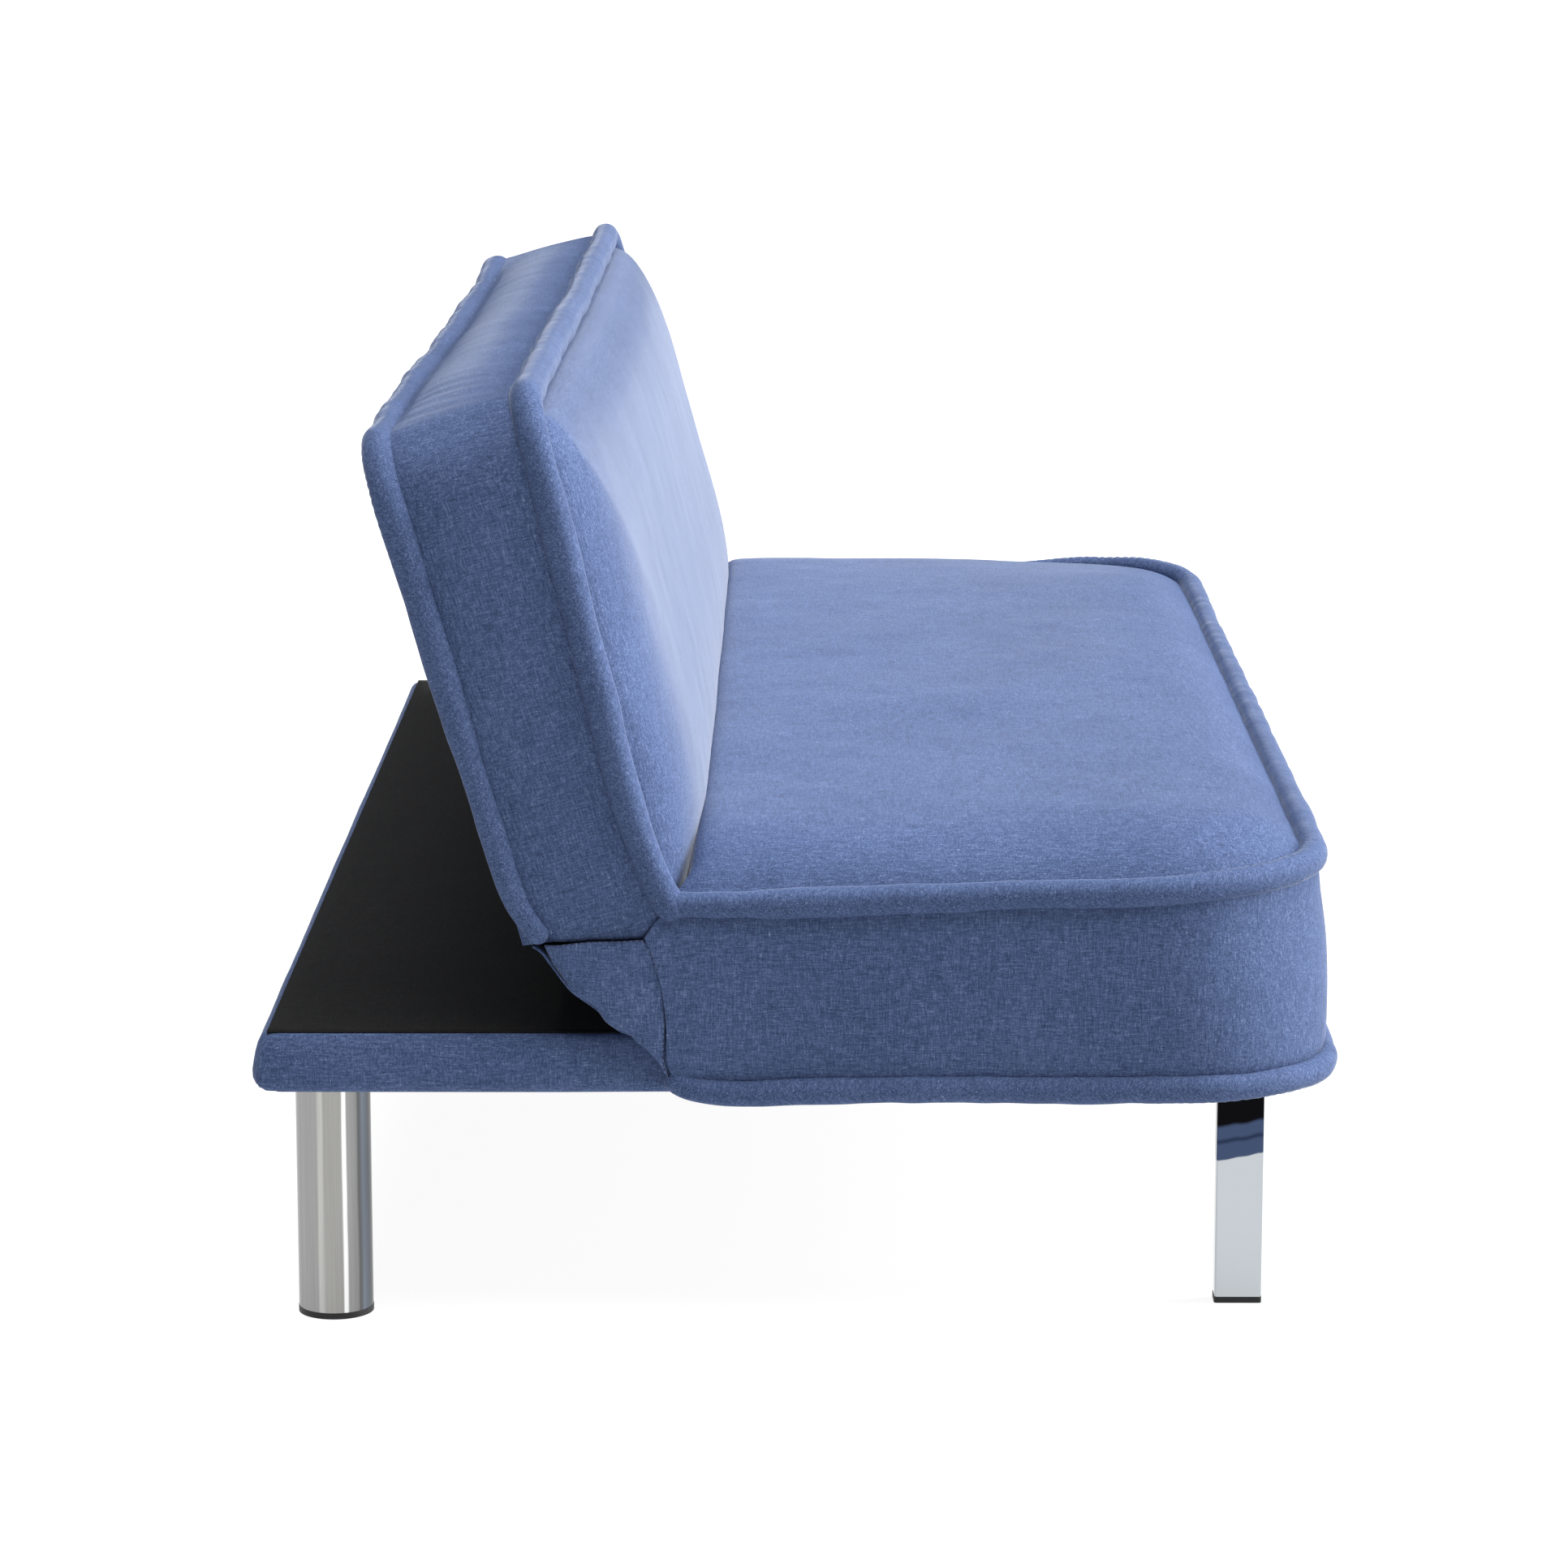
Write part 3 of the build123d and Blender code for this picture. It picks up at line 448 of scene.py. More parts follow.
def stuff(name, lo, hi, scale, rough=0.7, detail=5.0, bump_s=0.3, dist=0.001, stops=(0.35, 0.65), spec=0.4):
    mat = bpy.data.materials.new(name)
    nt, bs = nodes_of(mat)
    vec = coords(nt)
    n = stretched(nt, vec, scale, detail, 0.6)
    c = ramp(nt, n, [(stops[0], srgb(*lo)), (stops[1], srgb(*hi))])
    nt.links.new(c, bs.inputs["Base Color"])
    bs.inputs["Roughness"].default_value = rough
    bs.inputs["Specular IOR Level"].default_value = spec
    bp = add(nt, "ShaderNodeBump")
    bp.inputs["Strength"].default_value = bump_s
    bp.inputs["Distance"].default_value = dist
    nt.links.new(n, bp.inputs["Height"])
    nt.links.new(bp.outputs["Normal"], bs.inputs["Normal"])
    return mat


M_BLUE = fabric("blue_melange")
M_BLUE_BACK = fabric("blue_melange_back", rot=(T, 0, 0), sheen=0.85)
M_BLUE_WALL = fabric("blue_melange_back_wall", rot=(T, 0, 0), sheen=0.22)
M_BLUE_ROLL = fabric("blue_melange_bias", rot=(radians(45), radians(35), radians(45)), thread=0.0007, sheen=0.38)
M_BLACK = fabric("black_cloth_weave", dark=(8, 8, 8), mid=(18, 18, 18), light=(30, 30, 30), fleck=(80, 79, 78),
                 sheen=0.10, thread=0.0008, sheen_tint=(0.8, 0.8, 0.8, 1), rough=0.95)
M_DUST = stuff("black_nonwoven", (16, 16, 17), (34, 34, 36), (900, 900, 900), 0.95, 3, 0.4, 0.0004, spec=0.2)
M_CHROME = metal("chrome_mirror", (0.45, 0.48, 0.505, 1), 0.07, (40, 40, 6), 0.015, 0.01)
M_LEG = metal("chrome_leg", (0.45, 0.48, 0.505, 1), 0.07, (40, 40, 6), 0.015, 0.01)
M_STEEL = metal("polished_tube", (0.37, 0.375, 0.37, 1), 0.20, (420, 420, 5), 0.05, 0.05)
for l_ in list(M_STEEL.node_tree.links):
    if l_.to_socket.name == "Base Color":
        M_STEEL.node_tree.links.remove(l_)


def painted_reflection_tube(mat, y0, r):
    """Painted reflection down a polished tube: pale highlight bands and dark reflected edges, set by where round the
    tube they sit, with fine noise draw marks mixed in.
    """
    nt = mat.node_tree
    bs = next(n for n in nt.nodes if n.type == "BSDF_PRINCIPLED")
    tc = add(nt, "ShaderNodeTexCoord")
    sp = add(nt, "ShaderNodeSeparateXYZ")
    nt.links.new(tc.outputs["Object"], sp.inputs[0])
    u = math_node(nt, "MULTIPLY", math_node(nt, "SUBTRACT", y0, sp.outputs["Y"]), 0.5 / r)
    wob = stretched(nt, tc.outputs["Object"], (30, 30, 9), 2.0)
    u = math_node(nt, "ADD", math_node(nt, "ADD", u, 0.5), math_node(nt, "MULTIPLY_ADD", wob, 0.03, -0.015))
    fine = stretched(nt, tc.outputs["Object"], (600, 600, 7), 4.0, 0.7)
    g = lambda v, t=0.0: (v - t * 0.5, v * 1.01, v + t, 1)
    # painted reflection: the pale stops are painted highlights and the dark stops near the edges are painted dark
    # reflections
    c = ramp(nt, u, [(0.0, g(0.18)), (0.10, g(0.30)), (0.30, g(0.29)), (0.335, g(0.43, -0.01)), (0.375, g(0.43, -0.01)), (0.41, g(0.31, -0.01)),
                     (0.64, g(0.30, -0.01)), (0.66, g(0.84)), (0.695, g(0.84)), (0.715, g(0.30)), (0.83, g(0.25)), (0.86, g(0.12)),
                     (0.91, g(0.22, 0.05)), (0.955, g(0.15, 0.03)), (1.0, g(0.05))])
    mx = add(nt, "ShaderNodeMix", data_type="RGBA", blend_type="MULTIPLY")
    mx.inputs["Factor"].default_value = 0.35
    nt.links.new(c, mx.inputs["A"])
    nt.links.new(ramp(nt, fine, [(0.3, (0.72, 0.72, 0.72, 1)), (0.7, (1.15, 1.15, 1.15, 1))]), mx.inputs["B"])
    nt.links.new(mx.outputs["Result"], bs.inputs["Base Color"])


# the rear legs' tube gets painted reflection streaks in its base colour
painted_reflection_tube(M_STEEL, 0.3820, 0.0300)


def painted_reflection_head(mat, y0, edge):
    """Painted reflection at the top of a chrome leg: the dark underside and the blue cover above it are painted into
    its base colour as bands.
    """
    nt = mat.node_tree
    bs = next(n for n in nt.nodes if n.type == "BSDF_PRINCIPLED")
    for l in list(nt.links):
        if l.to_socket == bs.inputs["Base Color"]:
            nt.links.remove(l)
    tc = add(nt, "ShaderNodeTexCoord")
    sp = add(nt, "ShaderNodeSeparateXYZ")
    nt.links.new(tc.outputs["Object"], sp.inputs[0])
    tilt = math_node(nt, "MULTIPLY", math_node(nt, "SUBTRACT", y0, sp.outputs["Y"]), 0.19)
    wob = stretched(nt, tc.outputs["Object"], (60, 60, 12), 1.0)
    t = math_node(nt, "ADD", math_node(nt, "SUBTRACT", sp.outputs["Z"], tilt), math_node(nt, "MULTIPLY_ADD", wob, 0.004, -0.002))
    t = math_node(nt, "MULTIPLY", math_node(nt, "SUBTRACT", t, edge - 0.05), 10.0)
    # painted reflection colours: navy, blue and black stand for the underside and the cover mirrored in the leg
    pale, navy, blue, black = (0.45, 0.48, 0.505, 1), (0.016, 0.026, 0.058, 1), (0.045, 0.066, 0.128, 1), (0.004, 0.004, 0.005, 1)
    c = ramp(nt, t, [(0.0, pale), (0.495, pale), (0.505, blue), (0.62, blue), (0.65, navy), (0.68, blue), (0.76, blue), (0.79, black), (1.0, black)])
    nt.links.new(c, bs.inputs["Base Color"])


# the front legs get a painted reflection of the underside at their tops
painted_reflection_head(M_LEG, -0.3480, 0.1228)
M_PLASTIC = stuff("black_plastic_grain", (14, 14, 15), (26, 26, 28), (1400, 1400, 1400), 0.5, 2, 0.25, 0.0002)
M_PINE = stuff("pine_grain", (190, 148, 98), (224, 190, 142), (5, 60, 60), 0.6, 6, 0.2, 0.0005)
M_PLY = stuff("plywood_face", (176, 138, 94), (208, 174, 128), (4, 40, 200), 0.65, 6, 0.2, 0.0005)
M_FOAM = stuff("foam_pores", (206, 190, 140), (236, 224, 182), (700, 700, 700), 0.95, 3, 0.6, 0.001)
M_WAD = stuff("wadding_fluff", (214, 214, 210), (242, 242, 240), (180, 180, 180), 0.98, 6, 0.7, 0.002)
M_WEB = stuff("webbing_weave", (46, 44, 42), (96, 92, 86), (900, 900, 120), 0.9, 2, 0.5, 0.0005)
M_PAINT = stuff("painted_steel_black", (26, 27, 29), (44, 45, 48), (520, 520, 520), 0.42, 2, 0.25, 0.0003)
M_ZINC = metal("zinc_plate", (0.62, 0.63, 0.62, 1), 0.36, (180, 180, 180), 0.10, 0.08)
M_SPRING = metal("spring_wire", (0.30, 0.31, 0.33, 1), 0.32, (220, 220, 220), 0.08, 0.06)
M_STITCH = stuff("stitch_thread", (18, 24, 44), (42, 52, 84), (2400, 2400, 2400), 0.8, 2, 0.3, 0.0002)

BY_SLOT = {"blue_fabric": M_BLUE, "black_cloth": M_BLACK, "foam": M_FOAM, "wadding": M_WAD, "webbing": M_WEB,
           "pine": M_PINE, "plywood": M_PLY, "chrome": M_CHROME, "black_plastic": M_PLASTIC,
           "painted_steel": M_PAINT, "zinc_steel": M_ZINC, "spring_steel": M_SPRING}
for n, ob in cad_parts.items():
    slot = ob.material_slots[0].material.name.split(".")[0] if ob.material_slots and ob.material_slots[0].material else ""
    m = BY_SLOT.get(slot, M_PAINT)
    if n.startswith("rear_leg_") and n != "rear_leg_feet":
        m = M_STEEL
    if n.startswith("front_leg_") and n != "front_leg_feet":
        m = M_LEG
    for sl in ob.material_slots:
        sl.material = m
    if not ob.material_slots:
        ob.data.materials.append(m)

# ------------------------------------------------------------------ seat cushion
PITCH = 9.0


S_TOP = (819.0, 16.5, -482.5, 142.0)


def seat_height(X, Y):
    """Crown of the seat above the seam plane: springs up at the welt, nearly flat across, soft at the rear."""
    a, yo, yt, rad = S_TOP
    d, dr = edge_dist(X, Y, a, yo, yt, rad)
    crown = 40.5 * (1 - np.exp(-d / 30.0))
    crown += 5.0 * (1 - (X / 820.0) ** 2) * np.clip(d / 120.0, 0, 1)
    crown *= 1 - 0.5 * np.exp(-((X - 800) / 170.0) ** 2 - ((Y + 440) / 230.0) ** 2)
    rear = 1 - np.exp(-(dr + 0.1) / 4.5)
    h = 1.5 + crown * rear
    # slow unevenness of the filling, and faint pulls at the welt
    h = h + 1.2 * vnoise2(X / 170.0 + 11, Y / 120.0 + 5, 31) * np.clip(d / 60.0, 0, 1)
    h = h + 0.35 * vnoise2(X / 42.0, Y / 38.0, 32) * np.clip(d / 40.0, 0, 1)
    corner = np.exp(-((np.abs(X) - 770) / 80.0) ** 2 - ((Y + 430) / 90.0) ** 2)
    ang = np.arctan2(Y + 340.5, np.abs(X) - 677)
    h = h + 1.5 * corner * np.exp(-d / 10.0) * np.sin(ang * 142.0 / PITCH * 2 * pi + 1.3 * vnoise(ang * 6, 33))
    # pleats where the welt starts beside the back
    pleat = np.exp(-((np.abs(X) - 815) / 22.0) ** 2) * np.exp(-((Y + 4) / 16.0) ** 2)
    h = h + 1.6 * pleat * np.sin(Y / 7.5 * 2 * pi)
    return h


def dense(lo, hi, n, power=1.6):
    """n+1 numbers from lo to hi, closer together near both ends."""
    u = np.linspace(-1, 1, n + 1)
    v = np.sign(u) * (1 - (1 - np.abs(u)) ** power)
    return lo + (hi - lo) * (v + 1) / 2


cols = np.concatenate([np.linspace(-2, -1, 19)[:-1], dense(-1, 1, 150, 1.05), np.linspace(1, 2, 19)[1:]])
rows = np.concatenate([[0.0, 0.003, 0.008, 0.016, 0.028, 0.044], np.linspace(0.065, 1, 50), np.linspace(1, 2, 19)[1:]])


def seat_side(o, yo, h=None, z=None, curve=0.0):
    """A ring of the seat's wall, o mm outside the welt's centre line."""
    def f(x, y):
        if h is not None:
            return x, y, np.full_like(x, h)
        n = math.hypot(1.0, SEAM_RISE)
        yy = y
        hh = (z - SEAM_Z) * n + yy * SEAM_RISE
        front = np.clip(-(y - yo) / 20.0, 0, 1)
        wob = 0.9 * vnoise2(x / 150.0 + 3, (y + z * 0.4) / 140.0 + 1, 41) + 0.35 * vnoise2((x + y) / 48.0, z / 33.0 + 2, 42)
        k = 1 + front * wob * curve / np.maximum(np.hypot(x / 827.0, 0.0) * 827.0, 1.0)
        return x * k, y + front * 0 + np.where(y < -300, -np.abs(wob) * curve * 0.6, 0.0), hh
    rr = 150.0 if h is not None else 118.0 + 32.0 * min(1.0, max(0.0, (z - 205.0) / 110.0))
    return (827.0 + o, yo, -490.5 - o, max(rr + o, 20.0), f)


walls = [seat_side(-3.0, 17.0, h=0.5), seat_side(1.0, 17.2, h=-1.5), seat_side(3.0, 17.3, h=-5.0), seat_side(4.2, 17.3, h=-9.0)]
ZT = 336.0
for k in range(1, 17):
    v = k / 17.0
    z = ZT + (207.0 - ZT) * v
    o = 4.4 + 4.4 * math.sin(pi * v) ** 0.8 + 0.3 * math.sin(2 * pi * v) + 0.6 * v
    walls.append(seat_side(o, 15.5 + 1.5 * math.sin(pi * v), z=z, curve=math.sin(pi * v)))
walls += [seat_side(3.0, 15.5, z=204.0), seat_side(-2.0, 15.3, z=203.0), seat_side(-6.0, 15.0, z=206.0), seat_side(-6.5, 15.0, z=214.0),
          seat_side(-6.5, 15.0, z=228.0), seat_side(-7.0, 14.5, z=DECK_Z + 1.2)]


def seat_bottom(X, Y):
    n = math.hypot(1.0, SEAM_RISE)
    return (DECK_Z + 1.2 - SEAM_Z) * n + Y * SEAM_RISE


END_Z = [203, 212, 222, 237, 250, 262, 276, 291, 308, 318.5, 326, 332, 338, 346, 352, 372, 400]
END_Y = [110.5, 114, 115.5, 114.7, 114, 114.6, 115.8, 119.2, 124.6, 130.9, 126.5, 121, 114, 110, 108, 105, 101]


def sstep(t):
    t = np.clip(t, 0, 1)
    return t * t * (3 - 2 * t)


def seat_place(x, y, h):
    """At the two ends the wall runs back to the gusset's seam."""
    x, y, h = np.broadcast_arrays(np.asarray(x, float), np.asarray(y, float), np.asarray(h, float))
    z = SEAM_Z - y * SEAM_RISE + h
    to = np.interp(z, END_Z, END_Y) - SEAM_Y - 15.0
    return seam(x, y + to * sstep((np.abs(x) - 780) / 40.0) * sstep((y + 30.0) / 44.0), h)


seat_cushion = cushion("seat_cushion", seat_place, cols, rows, S_TOP + (seat_height,), walls, seat_bottom, M_BLUE)

x, y, al, cor = arc_u(827.0, 26.0, -490.5, 150.0)
dz = 0.9 * vnoise(al / 90.0, 51) + 0.5 * vnoise(al / 37.0, 52) + 8.0 * np.exp(-((x - 790) / 110.0) ** 2 - ((y + 440) / 130.0) ** 2)
do = 0.8 * vnoise(al / 75.0, 53)
P = seam(x * (1 + do / 827.0), y - np.where(y < -300, np.abs(do), 0), dz)
up = seam(0, 0, 1) - seam(0, 0, 0)
seat_top_welt = tube("seat_top_welt", P, -up, welt(S_R, 54, al[-1], cor, al, 0.05, 2.6, PITCH, side=pi * 1.25, ends=(0.9, 0.9)), M_BLUE_ROLL)

x, y, al, cor = arc_u(827.0, 106.0, -418.0, 120.0)
dz = 1.0 * vnoise(al / 110.0, 61) + 0.5 * vnoise(al / 41.0, 62)
end = np.exp(-np.minimum(al, al[-1] - al) / 10.0)
dz = dz - 3.5 * np.exp(-((np.minimum(al, al[-1] - al) - 52.0) / 42.0) ** 2)
P = flat(x * (1 - 0.004 * end), y, 196.3 + dz + 7.0 * end)
seat_low_welt = tube("seat_bottom_welt", P, (0, 0, -1), welt(S_R + 0.3, 64, al[-1], cor, al, 0.05, 0.9, PITCH, side=pi / 2, ends=(0.88, 0.88)), M_BLUE_ROLL)

# ------------------------------------------------------------------ back cushion
B_TOP = (815.5, 9.0, 418.0, 49.0)


def back_front(X, S):
    a, yo, yt, rad = B_TOP
    de = np.clip(a - np.abs(X), 0, None)
    dt = np.clip(yt - S, 0, None)
    u, v = np.abs(X) - (a - rad), S - (yt - rad)
    dcorner = np.clip(rad - np.hypot(np.clip(u, 0, None), np.clip(v, 0, None)), 0, None)
    de2 = np.where((u > 0) & (v > 0), dcorner, de)
    dt2 = np.where((u > 0) & (v > 0), dcorner, dt)
    db = np.clip(S - yo, 0, None)
    D = np.minimum(de2, dt2)
    e = 0.25 * (1 - np.exp(-D / 7.0)) + 0.75 * (1 - np.exp(-D / (34.0 + 26.0 * dt / (de + dt + 1.0))))
    t = 1 - 0.30 * np.exp(-de / 45.0 - dt / 45.0)
    b = 1 - 0.82 * np.exp(-(db + 2) / 34.0)
    h = 26.5 + 46.5 * e * t * b + 4.0 * (1 - (X / 820.0) ** 2) * np.clip(dt / 120, 0, 1) * np.clip(db / 120, 0, 1)
    h = h + 1.2 * vnoise2(X / 180.0 + 21, S / 130.0 + 5, 71) * np.clip(np.minimum(de, dt) / 60.0, 0, 1)
    h = h + 0.3 * vnoise2(X / 40.0, S / 38.0, 72) * np.clip(np.minimum(de, dt) / 40.0, 0, 1)
    ang = np.arctan2(S - 370, np.abs(X) - 765)
    cr = np.exp(-((np.abs(X) - 795) / 45.0) ** 2 - ((S - 395) / 60.0) ** 2)
    h = h + 0.9 * cr * np.exp(-np.minimum(de, dt) / 12.0) * np.sin(ang * 52.0 / 7.0 * 2 * pi)
    return h


bcols = np.concatenate([np.linspace(-2, -1, 15)[:-1], dense(-1, 1, 156, 1.05), np.linspace(1, 2, 15)[1:]])
brows = np.concatenate([[0.0, 0.008, 0.02], np.linspace(0.035, 1, 54), np.linspace(1, 2, 15)[1:]])


B_LOW_F = [-93, -79, -56, -38, -15, 1, 7, 14, 25]
B_LOW_S = [18.5, 17, 13.6, 10.4, 4.0, 0.3, 5.7, 9.5, 9.5]


def ease_down(x, f):
    """How far the top edge sits below the corner's height."""
    fr = np.clip((f + 88.0) / 113.0, 0, 1)
    front = 9.5 * sstep((x + 650.0) / 950.0)
    rear = 9.0 * sstep((x + 560.0) / 700.0) - 4.0 * sstep((x - 500.0) / 300.0)
    return front * fr + rear * (1 - fr)


def back_place(x, s, f):
    x, s, f = np.broadcast_arrays(np.asarray(x, float), np.asarray(s, float), np.asarray(f, float))
    tall = 8.5 * sstep((s - 170.0) / 260.0) * np.interp(f, [-45, 22, 32, 60], [0, 1, 0.9, 0.55])
    low = -4.0 * np.sin(pi * np.clip((s - 25.0) / 165.0, 0, 1)) * np.interp(f, [-10, 22, 32, 48], [0, 1, 0.8, 0])
    tuck = 16.0 * np.exp(-((s - 8.0) / 34.0) ** 2) * sstep((-45.0 - f) / 40.0) * sstep((np.abs(x) - 815.0) / 10.0)
    return back(x, s - ease_down(x, f) * sstep((s - 150.0) / 270.0), f + tall + low + tuck)


def back_side(o, yo, f0, arch=0.0, swell=0.0):
    """A ring of the back's wall; arch lifts it along the top edge, swell pushes it out at the ends."""
    def f(x, s):
        top = np.clip((s - 380.0) / 30.0, 0, 1)
        mid = np.clip(1 - (np.abs(x) / 800.0) ** 4, 0, 1)
        wr = 0.55 * np.sin(x / 23.0 * pi + 2.0 * vnoise(x / 60.0, 81) + f0 / 30.0) * np.exp(-((np.abs(x) - 690) / 120.0) ** 2) \
            + 0.5 * vnoise2(x / 34.0, f0 / 60.0 + 0 * x, 82) + 0.9 * vnoise2(x / 110.0, f0 / 70.0 + 0 * x, 83)
        s2 = s + top * (arch * mid + (wr * min(1.0, arch / 4.0)))
        ends = np.clip((np.abs(x) - 800.0) / 20.0, 0, 1)
        lo = np.clip((s - 12.0) / 30.0, 0, 1)
        w2 = 0.8 * vnoise2(s / 90.0 + 4, f0 / 60.0 + 0 * s, 84) + 0.3 * vnoise2(s / 30.0, f0 / 40.0 + 0 * s, 85)
        x2 = x + np.sign(x) * ends * lo * (swell + w2 * swell * 0.25)
        return x2, np.where(s < 30.0, s, s2), np.full_like(x, f0)
    return (826.0 + o, float(np.interp(f0, B_LOW_F, B_LOW_S)), 430.0 + o, 60.0 + o, f)


bw = [back_side(-4.0, 8.5, 25.5), back_side(1.0, 8.2, 22.0), back_side(3.0, 8.0, 17.0), back_side(4.0, 8.0, 12.0)]
for k in range(1, 16):
    v = k / 16.0
    f0 = 12.0 + (-74.0 - 12.0) * v
    b = math.sin(pi * v) ** 0.75
    bw.append(back_side(4.0, 8.0 - 2.5 * math.sin(pi * v), f0, arch=11.0 * b, swell=4.2 * b))
bw += [back_side(4.0, 8.3, -74.0), back_side(3.0, 8.6, -79.0), back_side(1.0, 9.0, -84.0), back_side(-4.0, 10.0, -88.0),
       back_side(-12.0, 14.0, -93.0)]


def back_rear(X, S):
    de = np.clip(812.0 - np.abs(X), 0, None)
    d = np.minimum(de, np.clip(416.0 - S, 0, None))
    d = np.minimum(d, np.clip(S - 14.0, 0, None))
    return -93.0 - 3.0 * (1 - np.exp(-d / 40.0)) + 0.5 * vnoise2(X / 120.0 + 2, S / 100.0, 91)


back_cushion = cushion("back_cushion", back_place, bcols, brows, B_TOP + (back_front,), bw, back_rear, M_BLUE_BACK)
back_cushion.data.materials.append(M_BLUE_WALL)
n_front = (len(bcols) - 1) * (len(brows) - 1)
back_cushion.data.polygons.foreach_set("material_index", [0 if k < n_front else 1 for k in range(len(back_cushion.data.polygons))])

x, s, al, cor = arc_u(826.0, 18.0, 430.0, 60.0)
top = np.clip((s - 400) / 30.0, 0, 1)
wv = 1.3 * vnoise(al / 80.0, 101) + 0.7 * vnoise(al / 33.0, 102)
P = back_place(x, s + top * wv * 0.9, 25.0 + 0.8 * vnoise(al / 95.0, 103) + 5.5 * np.exp(-(s - 18.0) / 9.0))
upb = back(0, 0, 1) - back(0, 0, 0)
back_front_welt = tube("back_front_welt", P, upb, welt(B_R + 0.6, 104, al[-1], cor, al, 0.06, 1.3, 7.5, side=pi / 2), M_BLUE_ROLL)

x, s, al, cor = arc_u(826.0, 26.0, 428.0, 60.0)
top = np.clip((s - 400) / 30.0, 0, 1)
side_w = 1 - top
wv = 1.6 * vnoise(al / 60.0, 111) + 1.0 * vnoise(al / 26.0, 112)


def rear_r(al_, th):
    f = welt(B_R + 0.8, 114, al[-1], cor, al, 0.07, 1.1, 8.0, side=pi * 1.5)
    r = f(al_, th)
    lower = np.minimum(al_, al[-1] - al_)
    return r * (0.66 + 0.10 * np.clip(lower / 60.0, 0, 1) + 0.24 * np.clip(lower / 330.0, 0, 1))[:, None]


P = back_place(x, s + top * wv, -88.0 + side_w * 0.8 * vnoise(al / 80.0, 115) - top * 0.8 * np.abs(vnoise(al / 40.0, 116)))
back_rear_welt = tube("back_rear_welt", P, upb, rear_r, M_BLUE_ROLL)

# ------------------------------------------------------------------ gusset at each end, and the long web behind
G_SEAM = [(130.9, 318.6), (124.6, 308.2), (119.2, 291.1), (115.8, 276.4), (114.6, 261.7), (114.0, 249.5), (114.7, 237.0),
          (115.5, 222.5), (114.1, 212.6), (110.5, 203.0)]
G_TOP = [(208.5, 313.0), (199.0, 313.9), (190.0, 315.0), (172.1, 317.0), (148.1, 317.4), (130.9, 318.6)]
G_OUT = [(208.5, 313.0), (200.6, 296.5), (192.6, 284.9), (186.8, 275.0), (175.9, 268.4), (167.7, 262.8), (160.7, 251.7),
         (154.6, 247.0), (145.1, 243.3), (139.0, 240.8), (137.4, 236.5), (130.7, 232.3), (125.0, 227.0), (118.2, 218.8), (110.5, 203.0)]


def resample(pts, n):
    p = np.array(pts, float)
    a = np.concatenate([[0], np.cumsum(np.hypot(*np.diff(p, axis=0).T))])
    q = np.linspace(0, a[-1], n)
    return np.stack([np.interp(q, a, p[:, 0]), np.interp(q, a, p[:, 1])], -1)


def smooth_line(p, it=2):
    p = p.copy()
    for _ in range(it):
        p[1:-1] = 0.25 * p[:-2] + 0.5 * p[1:-1] + 0.25 * p[2:]
    return p


def gusset(sgn, name):
    nu, nv = 46, 60
    A = smooth_line(resample(G_SEAM, nv), 3)
    C = smooth_line(resample(G_OUT, nv), 1)
    tp = smooth_line(resample(G_TOP[::-1], nu), 2)
    u = np.linspace(0, 1, nu)[:, None, None]
    v = np.linspace(0, 1, nv)[None, :, None]
    R = (1 - u) * A[None] + u * C[None]
    lin = (1 - u[:, :, 0]) * A[0] + u[:, :, 0] * C[0]
    R = R + ((tp - lin)[:, None, :]) * (1 - v) ** 2
    Y, Z = R[..., 0], R[..., 1]
    U, W = np.broadcast_arrays(u[..., 0], v[..., 0])
    fold = 3.0 * vnoise2((Y * 0.55 + Z * 0.83) / 27.0 + 3, (Y * 0.83 - Z * 0.55) / 90.0 + 8, 121) \
        + 1.3 * vnoise2((Y * 0.75 + Z * 0.66) / 12.0 + 3, (Y * 0.66 - Z * 0.75) / 50.0 + 3, 122)
    mask = np.sin(pi * np.clip(U, 0, 1) ** 0.8 * 0.92 + 0.1) * np.clip(W * 6, 0, 1) * np.clip((1 - W) * 3, 0, 1)
    slack = 2.2 * np.sin(pi * U) * np.sin(pi * W)
    X = 834.2 + fold * mask + slack
    # the outer edge turns in to meet the long web behind
    X = X - 5.0 * np.clip((U - 0.86) / 0.14, 0, 1) ** 2 * np.clip((0.72 - W) / 0.1, 0, 1)
    V = flat(sgn * X, Y, Z).reshape(-1, 3)
    F = grid_faces(nu, nv, flip=sgn > 0)
    ob = make(name, V, F, M_BLUE)
    solidify(ob, 1.3, 0)
    return apply_mods(ob)


